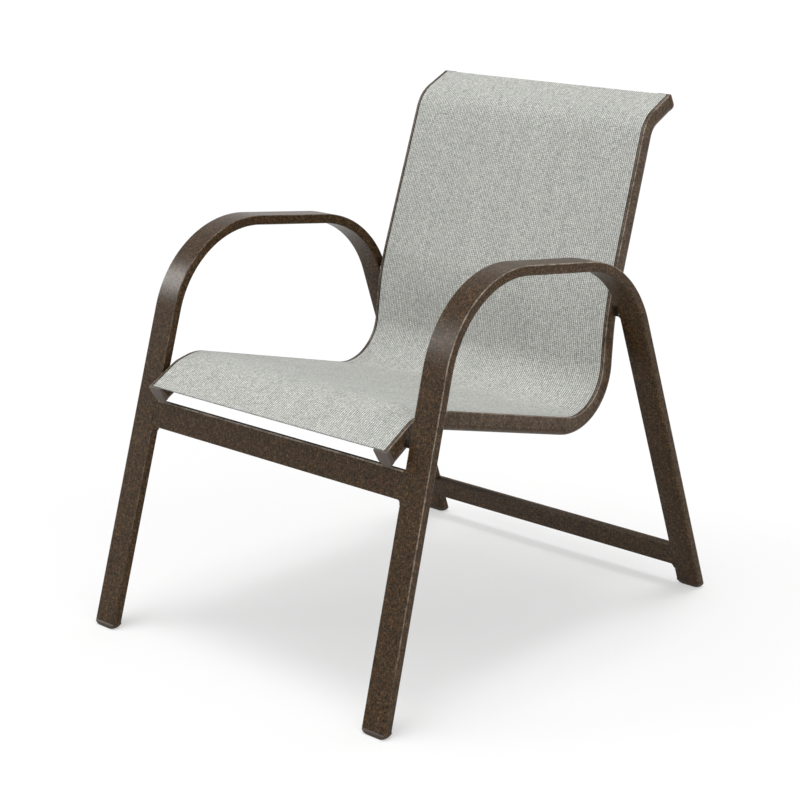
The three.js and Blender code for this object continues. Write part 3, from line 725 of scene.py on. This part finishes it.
def woven_sling():
    """Coated yarn weave: short pale warp floats in staggered columns, with painted shade where the yarns
    dip.
    """
    s = Shader("woven sling")
    uv = s.add("ShaderNodeUVMap", uv_map="weave").outputs[0]
    parts = s.add("ShaderNodeSeparateXYZ")
    s.link(uv, parts.inputs[0])
    # The uv layer holds metres across and along
    across_m, along_m = parts.outputs[0], parts.outputs[1]
    across = s.times(across_m, 1 / (COLUMN_PITCH * MM))
    column = s.math("FLOOR", across)
    column_tone = s.random(column)
    every_other = s.times(s.math("MODULO", s.unsigned(column), 2.0), 0.5)
    along = s.plus(s.times(along_m, 1 / (FLOAT_PITCH * MM)), every_other)
    along = s.plus(along, s.times(column_tone, 0.5))
    row = s.math("FLOOR", along)
    # Angles from the middle of a float to its sides and its ends
    sideways = s.times(s.minus(s.minus(across, column), 0.5), pi)
    endways = s.times(s.minus(s.minus(along, row), 0.5), pi)
    round_ = s.math("COSINE", sideways)
    warp = s.times(s.power(s.math("COSINE", endways), 0.75), s.power(round_, 0.55))
    weft = s.times(s.unsigned(s.math("SINE", endways)), s.times(s.power(round_, 0.6), 0.72))
    height = s.greater(warp, weft)
    # Partly the yarns' own colour, partly painted shade where the yarns dip
    color = s.ramp(height, YARN_LEVELS, YARN_AND_DIP_SHADE_COLORS)
    # Every column, every float and every yarn within a float has its own slight tone
    float_tone = s.random(column, row)
    yarn_tone = s.random(s.math("FLOOR", s.times(across, 2.0)), s.math("FLOOR", s.times(along, 2.0)))
    cloud = s.noise(uv, scale=11, detail=3, roughness=0.6, dims="2D")
    shade = s.plus(s.grey(float_tone, 0, 1, -0.08, 0.08), s.grey(column_tone, 0, 1, 0.84, 0.9))
    shade = s.plus(shade, s.grey(yarn_tone, 0, 1, -0.24, 0.24))
    shade = s.plus(shade, s.grey(cloud, 0.3, 0.7, -0.02, 0.04))
    # A row of stitches holds each end's hem
    half_length = RAIL_LENGTH * MM / 2
    from_end = s.minus(half_length, s.unsigned(s.minus(along_m, half_length)))
    from_seam = s.unsigned(s.minus(from_end, SEAM_INSET * MM))
    run = s.unsigned(s.math("SINE", s.times(across_m, pi / (STITCH_PITCH * MM))))
    thread = s.grey(from_seam, STITCH_CORE * MM, STITCH_EDGE * MM, 1.0, 0.0)
    stitch = s.times(thread, s.grey(run, 0.25, 0.45))
    # The cloth drawn in beside the stitches: a dip in the bump, and painted shade in the colour
    pinch_and_shade = s.grey(from_seam, STITCH_EDGE * MM, PINCH_REACH * MM, 0.82, 1.0)
    # The front fold turns down out of the light
    fold = s.grey(along_m, STITCH_CORE * MM, PINCH_REACH * MM, 0.5, 1.0)
    cloth = s.scaled(s.scaled(color, shade), s.times(pinch_and_shade, fold))
    s.surface(s.mix(stitch, cloth, THREAD), 0.7, IOR=1.45, Specular_IOR_Level=0.35)
    relief = s.plus(height, s.plus(s.times(pinch_and_shade, 1.5), stitch))
    s.bump(relief, strength=0.4, distance=0.00045)
    return s.mat


BRONZE = powder_coat()
SLING = woven_sling()
DARK_PLASTIC = moulded_plastic("dark plastic", srgb(30, 25, 20), srgb(40, 33, 27), 0.6)
# The front caps' plastic is coloured greyer and paler than the top caps' as painted sheen
CAP_PLASTIC = moulded_plastic("cap plastic", srgb(86, 76, 70), srgb(98, 88, 82), 0.5)
TOP_CAP_PLASTIC = moulded_plastic("top cap plastic", srgb(64, 47, 34), srgb(77, 58, 43), 0.5)
FOOT_PLASTIC = moulded_plastic("foot plastic", srgb(54, 44, 34), srgb(72, 59, 46), 0.55)
SPLINE_PLASTIC = moulded_plastic("spline plastic", srgb(38, 37, 36), srgb(48, 47, 45), 0.6)
STEEL = brushed_steel()


# Side frames: a flat tube with soft corners, bent in one piece
def tube_highlight(p, v):
    """How strong the painted highlight is at a point of the side frame's section."""
    most = 1.0 if p < FRAME_WIDTH / 2 else INNER_HIGHLIGHT
    from_edge = hypot(min(p, FRAME_WIDTH - p), v)
    return most * max(0.0, min(1.0, (HIGHLIGHT_REACH - from_edge) / HIGHLIGHT_FADE))


def frame_highlight(run, whole):
    """How strong the painted highlight is along the tube: most from the front bend on, little on the
    rear leg.
    """
    gained = FOOT_HIGHLIGHT + LEG_HIGHLIGHT * rise_to(run, *LEG_HIGHLIGHT_RUN) + ARM_HIGHLIGHT * rise_to(run, *ARM_HIGHLIGHT_RUN)
    low, high = (whole * share for share in REAR_HIGHLIGHT_SHARES)
    return gained * (1 - REAR_HIGHLIGHT_LOSS * rise_to(run, low, high))


def side_frame(name, side):
    section = tube_section(FRAME_WIDTH)
    rings = swept(FRAME_STOPS, [section] * len(FRAME_STOPS), FRAME_OUTER_X, side)
    for end in (0, -1):
        stop = FRAME_STOPS[end]
        depth = level_depth(stop.way)
        rings[end] = [(side * (FRAME_OUTER_X - p), stop.y + depth * v, stop.z) for p, v in section]
    verts, faces = skin(rings)
    # Painted highlight along the tube's edges
    painted_light_and_shade = []
    for stop in FRAME_STOPS:
        much = frame_highlight(stop.run, FRAME_STOPS[-1].run)
        painted_light_and_shade.extend(much * tube_highlight(p, v) for p, v in section)
    nodes = [f"{name}_side_frame"]
    new_piece(f"{name}_frame_tube", verts, faces, BRONZE, nodes, painted_light_and_shade=painted_light_and_shade)


# Sling rails: the slotted extrusion that holds the sling's edge
def rail_section(depth):
    half = RAIL_WIDTH / 2
    slot_inner = SLOT_OUTER + SLOT_WIDTH
    crest = -CREST_RISE

    def mouth(p):
        """Angle of the channel's round wall where the slot's face at p opens into it."""
        rise = sqrt(CHANNEL_RADIUS ** 2 - (p - CHANNEL_CENTRE) ** 2)
        return degrees(atan2(-rise, p - CHANNEL_CENTRE))

    return outline(
        [(SLOT_OUTER, crest + SLOT_OUTER_BEVEL), (SLOT_OUTER - SLOT_OUTER_BEVEL, crest)]
        + [(p, crest) for p, _ in reversed(CREST_MARKS)]
        + arc(SHOULDER_RADIUS, crest + SHOULDER_RADIUS, SHOULDER_RADIUS, 270, 180, SHOULDER_STEPS)
        + arc(half, depth - half, half, 180, 0, RAIL_ROUND_STEPS)
        + arc(RAIL_WIDTH - LIP_RADIUS, LIP_RADIUS, LIP_RADIUS, 0, -90, EDGE_STEPS)
        + [(slot_inner + SLOT_INNER_BEVEL, 0), (slot_inner, SLOT_INNER_BEVEL)]
        + arc(
            CHANNEL_CENTRE, CHANNEL_DEPTH, CHANNEL_RADIUS,
            mouth(slot_inner), mouth(SLOT_OUTER) + 360, CHANNEL_STEPS,
        )
    )


def rail_light_and_shade(p, v):
    """Painted light on the rail: painted shade beside the slot and down its walls, a painted highlight
    line on the lip and on the shoulder, and a little painted light on the outer side.
    """
    if v > SHOULDER_RADIUS or p > SLOT_MARKS[-1][0]:
        return SIDE_LIGHT if p < SIDE_EDGE else 0.0
    if v > LIP_EDGE and p > SHOULDER_RADIUS:
        return -1.0
    marks = SHOULDER_MARKS + CREST_MARKS + SLOT_MARKS
    for (p0, r0), (p1, r1) in zip(marks, marks[1:]):
        if p0 <= p <= p1:
            return r0 + (r1 - r0) * (p - p0) / (p1 - p0)
    return 0.0


def end_depth(run):
    """The rail is a little deeper where its front end is pressed for the cap."""
    return RAIL_DEPTH + PRESSED_DEPTH * (1 - rise_to(run, *PRESSED_RUN))


def sling_rail(name, side):
    sections = [rail_section(end_depth(stop.run)) for stop in RAIL_STOPS]
    verts, faces = skin(swept(RAIL_STOPS, sections, RAIL_OUTER_X, side))
    # Painted shade in the slot, painted highlights on the lip and the shoulder
    painted_light_and_shade = [rail_light_and_shade(p, v) for section in sections for p, v in section]
    nodes = [f"{name}_sling_rail"]
    new_piece(
        f"{name}_rail_extrusion", verts, faces, BRONZE, nodes, sharp=40, painted_light_and_shade=painted_light_and_shade
    )


def cap_section(depth, inset):
    half = RAIL_WIDTH / 2
    shoulder, lip = SHOULDER_RADIUS + inset, LIP_RADIUS + inset
    return outline(
        arc(shoulder, shoulder, SHOULDER_RADIUS, 270, 180, SHOULDER_STEPS)
        + arc(half, depth - half, half - inset, 180, 0, CAP_ROUND_STEPS)
        + arc(RAIL_WIDTH - lip, lip, LIP_RADIUS, 0, -90, SHOULDER_STEPS)
    )


def rail_cap(name, end, side, length, sense, material):
    """A moulded cover over the rail's end: its skirt laps over the rail, its face has a soft edge."""
    place, way = place_at(RAIL_PLACES, length)
    face = CONTACT_GAP + CAP_COVER - CAP_ROUND
    rows = [(-CAP_TOP_LAP, CAP_WALL), (-CAP_SKIRT, CAP_SQUEEZE)]
    rows += [(-CAP_SKIRT, -CAP_PROUD), (face, -CAP_PROUD)]
    for a in quarter(SHOULDER_STEPS)[1:]:
        rows.append((face + CAP_ROUND * sin(a), CAP_ROUND * (1 - cos(a)) - CAP_PROUD))
    rings = []
    for along, inset in rows:
        points = []
        for p, v in cap_section(end_depth(length), inset):
            on_side = v > CAP_TOP_DEPTH or p < CAP_TOP_FROM
            lapped = sense * (along if on_side else max(along, -CAP_TOP_LAP))
            if p > SLOT_OUTER:
                v = max(v, 0.0)
            y, z = place.x + way.x * lapped, place.y + way.y * lapped
            points.append((side * (RAIL_OUTER_X - p), y + way.y * v, z - way.x * v))
        rings.append(points)
    verts, faces = skin(rings)
    new_piece(f"{name}_{end}_cap", verts, faces, material, [f"{name}_{end}_rail_cap"])


# Cross rails: flat tubes let into the legs' inner edges, and their weld beads
def cross_rail_line(front):
    """Start (y, z) of the outer face's lower edge, the way up the leg, the way inward, and the width."""
    y, (top_y, top_z) = (-HALF_DEPTH, ARM_FRONT) if front else (HALF_DEPTH, ARM_REAR)
    way = Vector((top_y - y, top_z - GLIDE_THICKNESS)).normalized()
    if not front:
        y -= FRAME_THICKNESS / way.y
    bottom = FRONT_RAIL_BOTTOM_Z if front else REAR_RAIL_BOTTOM_Z
    start = Vector((y + (bottom - GLIDE_THICKNESS) * way.x / way.y, bottom))
    return start, way, Vector((way.y, -way.x)), FRONT_RAIL_WIDTH if front else REAR_RAIL_WIDTH


def cross_rail_light_and_shade(front, x, p, v, width):
    """Painted shade on a cross rail's top and a painted highlight line beside it."""
    from_top = width - p
    if front:
        if from_top < TOP_FACE:
            return -1.0
        return FRONT_LINE_HIGHLIGHT if v < SIDE_EDGE and from_top < FRONT_LINE else 0.0
    much = 1 - RIGHT_LOSS * rise_to(x, *RIGHT_LOSS_RUN)
    if from_top < TOP_FACE and v < TOP_SHADE_DEPTH:
        return TOP_SHADE * much
    return REAR_LINE_HIGHLIGHT * much if from_top < REAR_LINE and v > REAR_LINE_DEPTH else 0.0


def cross_rail(name, front):
    start, way, inward, width = cross_rail_line(front)
    section = tube_section(width)
    reach = FRAME_INNER_X + FRAME_CORNER
    rings, painted_light_and_shade = [], []
    for k in range(CROSS_RAIL_STEPS + 1):
        x = -reach + 2 * reach * k / CROSS_RAIL_STEPS
        rings.append([(x, *(start + way * p + inward * v)) for p, v in section])
        # Painted shade on the top, a painted highlight line beside it
        painted_light_and_shade.extend(cross_rail_light_and_shade(front, x, p, v, width) for p, v in section)
    verts, faces = skin(rings)
    new_piece(f"{name}_tube", verts, faces, BRONZE, [name], painted_light_and_shade=painted_light_and_shade)


def seam_points(width):
    """Close points round a cross rail's section."""
    section = tube_section(width, WELD_STEPS)
    dense = []
    for (p, v), (q, w) in zip(section, section[1:] + section[:1]):
        n = max(1, round(dist((p, v), (q, w)) / WELD_STEP))
        dense.extend((p + (q - p) * k / n, v + (w - v) * k / n) for k in range(n))
    return dense


def weld_profile(size, behind, ahead):
    """Section of the weld, along X and off the rail: a fillet, which turns into a low bead behind."""
    reach = WELD_REACH + WELD_FACE_REACH * ahead
    fillet = [(-max(size, WELD_FACE_LAP * ahead), 0.0)]
    for a in quarter(WELD_STEPS)[1:-1]:
        fillet.append((-size + size * sin(a), size - size * cos(a)))
    fillet += [(0.0, size), (reach, size), (reach, -WELD_SINK), (-size, -WELD_SINK)]
    last = WELD_STEPS + 1
    bead = [(BEAD_FROM + BEAD_WIDTH * k / last, size * sin(pi * k / last)) for k in range(last + 1)]
    bead += [(BEAD_FROM + BEAD_WIDTH, -WELD_SINK), (BEAD_FROM, -WELD_SINK)]
    return [(a + (c - a) * behind, b + (d - b) * behind) for (a, b), (c, d) in zip(fillet, bead)]


def weld_bead(name, side, front):
    """A fillet of weld round the cross rail's end, ground flush on the outer face."""
    start, way, inward, width = cross_rail_line(front)
    seam = seam_points(width)
    rings, run = [], 0.0
    for (o, u), (p, v), (q, w) in zip(seam[-1:] + seam[:-1], seam, seam[1:] + seam[:1]):
        normal = Vector((w - u, o - q)).normalized()
        run += dist((p, v), (q, w))
        facing = (-normal.x, normal.x, normal.y, -normal.y)
        shares = [max(0.0, part) ** 2 for part in facing]
        behind, ahead = shares[2:]
        ripple = 1 + WELD_RIPPLE * sin(run * 2 * pi / WELD_RIPPLE_PITCH) * behind
        size = sum(full * share for full, share in zip(WELD_SIZES, shares))
        ring = []
        for dx, out in weld_profile(size * ripple, behind, ahead):
            depth = max(v + normal.y * out, -WELD_FLUSH)
            place = start + way * (p + normal.x * out) + inward * depth
            ring.append((side * (FRAME_INNER_X + dx), place.x, place.y))
        rings.append(ring)
    verts, faces = skin(rings, loop=True)
    new_piece(name, verts, faces, BRONZE)


# Fasteners and fittings
def node_centre(node):
    """Y and Z of a node's middle, in millimetres."""
    low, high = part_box(node)
    middle = (low + high) / 2 / MM
    return middle.y, middle.z


def turned_piece(name, node, side, rows, material, loop=False, count=TURNED_STEPS):
    y, z = node_centre(node)
    verts, faces = lathe(y, z, [(side * x, r) for x, r in rows], count, loop)
    new_piece(name, verts, faces, material, [node], sharp=30)


def rail_bolt(name, end, side):
    """A button head with a hex socket, and its shank."""
    node = f"{name}_{end}_rail_bolt"
    y, z = node_centre(node)
    head = RAIL_INNER_X - CONTACT_GAP
    top = head - BOLT_HEAD_HEIGHT
    tip = FRAME_INNER_X + INSERT_GRIP
    rings = []

    def ring(x, radius, corners=False):
        points = []
        for k in range(TURNED_STEPS):
            a = 2 * pi * k / TURNED_STEPS
            from_flat = (a + pi / 6) % (pi / 3) - pi / 6
            r = radius / cos(from_flat) if corners else radius
            points.append((side * x, y + r * cos(a), z + r * sin(a)))
        rings.append(points)

    ring(top + SOCKET_DEPTH, SOCKET_SIZE / 2, corners=True)
    ring(top + SOCKET_CHAMFER, SOCKET_SIZE / 2, corners=True)
    ring(top, SOCKET_SIZE / 2 * SOCKET_FLARE, corners=True)
    for a in quarter(DOME_STEPS):
        x = top + BOLT_HEAD_HEIGHT * BOLT_DOME_SHARE * (1 - cos(a))
        ring(x, BOLT_FACE_RADIUS + (BOLT_HEAD_RADIUS - BOLT_FACE_RADIUS) * sin(a))
    ring(head, BOLT_HEAD_RADIUS)
    ring(head, BOLT_RADIUS)
    ring(tip - BOLT_CHAMFER, BOLT_RADIUS)
    ring(tip, BOLT_RADIUS - BOLT_CHAMFER)
    verts, faces = skin(rings)
    new_piece(f"{name}_{end}_bolt", verts, faces, STEEL, [node], sharp=30)


def spacer_sleeve(name, end, side):
    """A spacer round the bolt; the rear one is slimmer and runs on up the rail."""
    node = f"{name}_{end}_spacer"
    rear = end == "rear"
    y, z = node_centre(node)
    a, b = RAIL_OUTER_X + CONTACT_GAP, INSERT_FACE_X - CONTACT_GAP
    edge = SPACER_RADIUS - SPACER_BEVEL
    rows = [
        (a, SPACER_BORE), (a, edge), (a + SPACER_BEVEL, SPACER_RADIUS),
        (b - SPACER_BEVEL, SPACER_RADIUS), (b, edge), (b, SPACER_BORE),
    ]
    up = SADDLE_WAY * (SADDLE_LENGTH if rear else 0.0)
    rings = []
    for x, r in rows:
        outside = r > SPACER_BORE
        if outside and rear:
            r -= SADDLE_SLIMMING
        ring = []
        for k in range(TURNED_STEPS):
            turn = 2 * pi * (k + 0.5) / TURNED_STEPS
            far = outside and cos(turn) * up.x + sin(turn) * up.y > 0
            shift = up if far else Vector((0, 0))
            ring.append((side * x, y + r * cos(turn) + shift.x, z + r * sin(turn) + shift.y))
        rings.append(ring)
    verts, faces = skin(rings, loop=True)
    new_piece(f"{name}_{end}_spacer_sleeve", verts, faces, DARK_PLASTIC, [node])


def insert_nut(name, end, side):
    """A blind rivet nut in the side frame's wall."""
    face, back = INSERT_FACE_X, INSERT_FACE_X + INSERT_FLANGE
    tail = INSERT_FACE_X + INSERT_LENGTH
    rim = INSERT_FLANGE_RADIUS
    rows = [
        (face, SPACER_BORE), (face, rim - INSERT_BEVEL), (face + INSERT_BEVEL, rim), (back, rim),
        (back, INSERT_RADIUS), (tail, INSERT_RADIUS), (tail, SPACER_BORE),
    ]
    node = f"{name}_{end}_insert"
    turned_piece(f"{node}_nut", node, side, rows, STEEL, loop=True)


def spreader_plug(name, bar, side):
    """A plug with its pin in the rail's wall and its body in the bar."""
    face = RAIL_INNER_X - CONTACT_GAP
    back = face - PLUG_FLANGE
    pin = face + PLUG_PIN_REACH
    rows = [
        (pin, PLUG_PIN_TIP_RADIUS), (pin - PLUG_PIN_BEVEL, PLUG_PIN_RADIUS), (face, PLUG_PIN_RADIUS),
        (face, SPREADER_RADIUS - PLUG_BEVEL), (face - PLUG_BEVEL, SPREADER_RADIUS),
        (back + PLUG_BEVEL, SPREADER_RADIUS), (back, SPREADER_RADIUS - PLUG_BEVEL),
        (back, PLUG_ROOT_RADIUS), (back - PLUG_LENGTH, PLUG_TIP_RADIUS),
    ]
    node = f"{name}_{bar}_spreader_plug"
    turned_piece(f"{name}_{bar}_plug", node, side, rows, DARK_PLASTIC)


def spreader(bar):
    """A round tube between the rails."""
    end = RAIL_INNER_X - CONTACT_GAP * 2 - PLUG_FLANGE
    r, bevel = SPREADER_RADIUS, SPREADER_BEVEL
    bore = r - SPREADER_WALL
    rows = [(-end, bore), (-end, r - bevel), (-end + bevel, r)]
    rows += [(-end + 2 * end * k / SPREADER_RUNS, r) for k in range(1, SPREADER_RUNS)]
    rows += [(end - bevel, r), (end, r - bevel), (end, bore)]
    node = f"{bar}_spreader"
    turned_piece(f"{node}_bar", node, 1, rows, BRONZE, loop=True, count=SPREADER_STEPS)


def foot_rows():
    """Heights above the floor, and the share of the sole's inset at each."""
    rows = [(SOLE_ROUND * (1 - cos(a)), 1 - sin(a)) for a in quarter(SOLE_STEPS)]
    return rows + [(GLIDE_THICKNESS - below, share) for below, share in FOOT_NECK]


def foot_glide(name, end, side):
    """A moulded foot that carries the leg's line on and rounds in to its sole."""
    stop = FRAME_STOPS[0] if end == "front" else FRAME_STOPS[-1]
    depth = level_depth(stop.way)
    by_inset, by_height = FOOT_CORNER_SHARES
    rings = []
    for height, share in foot_rows():
        swell = FOOT_SWELL * sin(pi * min(1.0, height / (GLIDE_THICKNESS - FOOT_SEAM)))
        across = SOLE_INSET_ACROSS * share - FOOT_SIDE_SHARE * swell
        deep = SOLE_INSET_DEEP * share
        growth = by_inset * share + by_height * (GLIDE_THICKNESS - height)
        corner = FOOT_CORNER + min(FOOT_CORNER_GROWTH, growth)
        ring = rounded_rectangle(
            across, deep - swell, FRAME_WIDTH - across, FRAME_THICKNESS - deep, corner, FOOT_CORNER_STEPS
        )
        y = stop.y + (height - GLIDE_THICKNESS) * stop.way.x / stop.way.y
        rings.append([(side * (FRAME_OUTER_X - p), y + depth * v, height) for p, v in ring])
    verts, faces = skin(rings)
    new_piece(f"{name}_{end}_foot", verts, faces, FOOT_PLASTIC, [f"{name}_{end}_glide"])


# Sling: one woven panel, hemmed round a spline at each side and turned under at both ends
def sling_half(offset):
    """Half section on the +X side from the hem's free edge to where the sling leaves the slot."""
    radius = SPLINE_RADIUS + SLING_CLEARANCE + offset
    hem = arc(CHANNEL_CENTRE, CHANNEL_DEPTH, radius, HEM_FROM_ANGLE, HEM_TO_ANGLE, HEM_STEPS)
    middle = SLOT_OUTER + SLOT_WIDTH / 2
    at = middle - SLING_THICKNESS / 2 if offset else middle + SLING_THICKNESS / 2
    top = -SLING_CLEARANCE - offset
    corner = TURN_OUTER_RADIUS if offset else TURN_INNER_RADIUS
    turns = quarter(TURN_STEPS)
    turn = [(at + corner * (1 - cos(a)), top + corner * (1 - sin(a))) for a in turns]
    neck = [(at, hem[-1][1] * NECK_SHARE)]
    return [(RAIL_OUTER_X - p, v) for p, v in hem + neck + turn]


def bulge(x, run):
    """How far the panel stands off the rails' top line toward the sitter."""
    across = 1 - min(1.0, abs(x) / (RAIL_OUTER_X - BULGE_INSET)) ** 2
    at = run / RAIL_LENGTH
    return across * sum(much * exp(-((at - place) / spread) ** 2) for place, spread, much in BULGES)


def sling_face(run, offset):
    """One face of the panel from hem to hem: the lower at offset 0, the upper at the thickness."""
    half = sling_half(offset)
    edge = half[-1][0]
    across = [edge - 2 * edge * k / ACROSS_STEPS for k in range(1, ACROSS_STEPS)]
    middle = [(x, -SLING_CLEARANCE - offset - bulge(x, run)) for x in across]
    return half + middle + [(-x, v) for x, v in reversed(half)]


def running_lengths(ring):
    total, out = 0.0, [0.0]
    for a, b in zip(ring, ring[1:]):
        total += dist(a, b)
        out.append(total)
    return out


def across_uvs(face):
    """Metres across the cloth from its middle line, for each point of a face."""
    lengths = running_lengths(face)
    return [(u - lengths[-1] / 2) * MM for u in lengths]


def sling_panel():
    """The panel, and its width measured round the hems."""
    sections, uvs = [], []
    for stop in RAIL_STOPS:
        low, high = sling_face(stop.run, 0.0), sling_face(stop.run, SLING_THICKNESS)
        sections.append(low + high[::-1])
        uvs.extend((u, stop.run * MM) for u in across_uvs(low) + across_uvs(high)[::-1])
    verts, faces = sheet_skin(swept(RAIL_STOPS, sections, 0, -1))
    piece = new_piece("sling_panel", verts, faces, SLING, ["sling"], uvs=uvs, sharp=50)
    return piece, running_lengths(sling_face(RAIL_LENGTH / 2, 0.0))[-1]


def turned_under(name, length, sense):
    """The end of the panel folded back under itself and sewn."""
    reach = RAIL_INNER_X - FOLD_SIDE_INSET
    across = [reach - 2 * reach * j / ACROSS_STEPS for j in range(ACROSS_STEPS + 1)]
    rings, uvs = [], []
    for k in range(FOLD_STEPS + 1):
        run = length - sense * (FOLD_END_INSET + FOLD_DEPTH * k / FOLD_STEPS)
        place, way = place_at(RAIL_PLACES, run)
        high = [(x, -SLING_CLEARANCE - bulge(x, run) + FOLD_GAP) for x in across]
        low = [(x, v + SLING_THICKNESS) for x, v in high]
        rings.append([(x, place.x + way.y * v, place.y - way.x * v) for x, v in low + high[::-1]])
        uvs.extend((x * MM, run * MM) for x in across + across[::-1])
    verts, faces = sheet_skin(rings)
    return new_piece(name, verts, faces, SLING, uvs=uvs, sharp=50)


# Studio: pale floor, white surround, soft light from above
FLOOR_REACH = 14  # metres
FLOOR_DROP = 0.0003  # below the feet
FLOOR_GLOW = 0.42  # share of plain white in the floor that the camera sees
FLOOR_LIT = (0.72, 0.72, 0.715)  # the floor's colour for the light it sends up
FLOOR_SEEN = (0.92, 0.92, 0.918)
WORLD_LIT, WORLD_SEEN = 0.5, 1.0  # the surround's strengths for light and for the camera
WHITE = (1, 1, 1)


def seen_white(nodes):
    """1 for rays that come straight from the camera or by way of gloss or glass."""
    path = nodes.add("ShaderNodeLightPath").outputs
    total = path["Is Camera Ray"]
    for name in ("Is Glossy Ray", "Is Transmission Ray"):
        total = nodes.math("ADD", total, path[name], use_clamp=True)
    return total


def studio_floor():
    r, z = FLOOR_REACH, -FLOOR_DROP
    mesh = bpy.data.meshes.new("floor")
    mesh.from_pydata([(-r, -r, z), (r, -r, z), (r, r, z), (-r, r, z)], [], [(0, 1, 2, 3)])
    floor = new_object("floor", mesh)
    s = Shader("floor white")
    seen = seen_white(s)
    s.surface(s.mix(seen, FLOOR_LIT, FLOOR_SEEN), 0.9, Specular_IOR_Level=0.1)
    glow = s.add("ShaderNodeEmission")
    blend = s.add("ShaderNodeMixShader")
    s.link(s.times(seen, FLOOR_GLOW), blend.inputs[0])
    s.link(s.bsdf.outputs[0], blend.inputs[1])
    s.link(glow.outputs[0], blend.inputs[2])
    s.link(blend.outputs[0], s.out.inputs["Surface"])
    mesh.materials.append(s.mat)


def surround():
    world = bpy.data.worlds.new("surround")
    bpy.context.scene.world = world
    w = Nodes(world)
    out = w.add("ShaderNodeOutputWorld")
    back = w.add("ShaderNodeBackground")
    w.put(back.inputs["Color"], WHITE)
    w.put(back.inputs["Strength"], w.grey(seen_white(w), 0, 1, WORLD_LIT, WORLD_SEEN))
    w.link(back.outputs[0], out.inputs["Surface"])


def soft_sun(name, toward, energy, angle, gloss_only=False):
    """A distant lamp on the side it is toward; its angle in degrees softens the shadows."""
    data = bpy.data.lights.new(name, "SUN")
    data.energy = energy
    data.angle = radians(angle)
    light = new_object(name, data)
    light.rotation_euler = Vector(toward).to_track_quat("Z", "Y").to_euler()
    light.visible_diffuse = not gloss_only


def lamps():
    soft_sun("key", toward=(-0.08, -0.12, 1.0), energy=0.5, angle=56)
    soft_sun("overhead", toward=(-0.02, -0.02, 1.0), energy=1.0, angle=20)
    soft_sun("side", toward=(-0.735, -0.678, 0.75), energy=0.28, angle=22)
    soft_sun("right", toward=(0.95, -0.28, 0.25), energy=1.24, angle=55)
    # The softbox that shows as a sheen on the front bends
    soft_sun("softbox", toward=(-0.84, -0.41, 0.41), energy=2.7, angle=18, gloss_only=True)


# The chair and its studio
BARS = ("seat_front", "seat_rear", "back")
for side_name, side in SIDES:
    side_frame(side_name, side)
    sling_rail(side_name, side)
    rail_cap(side_name, "front", side, 0.0, -1, CAP_PLASTIC)
    rail_cap(side_name, "top", side, RAIL_LENGTH, 1, TOP_CAP_PLASTIC)
    weld_bead(f"{side_name}_front_weld", side, True)
    weld_bead(f"{side_name}_rear_weld", side, False)
    for end in ("front", "rear"):
        rail_bolt(side_name, end, side)
        spacer_sleeve(side_name, end, side)
        insert_nut(side_name, end, side)
    for bar in BARS:
        spreader_plug(side_name, bar, side)
    foot_glide(side_name, "front", side)
    foot_glide(side_name, "rear", side)
    spline = NODES[f"{side_name}_sling_spline"].data
    spline.materials.clear()
    spline.materials.append(SPLINE_PLASTIC)
cross_rail("front_cross_rail", True)
cross_rail("rear_cross_rail", False)
for bar in BARS:
    spreader(bar)

panel, panel_width = sling_panel()
hems = [turned_under("sling_front_hem", 0.0, -1), turned_under("sling_top_hem", RAIL_LENGTH, 1)]

studio_floor()
surround()
lamps()
bpy.context.scene.view_settings.view_transform = "Standard"
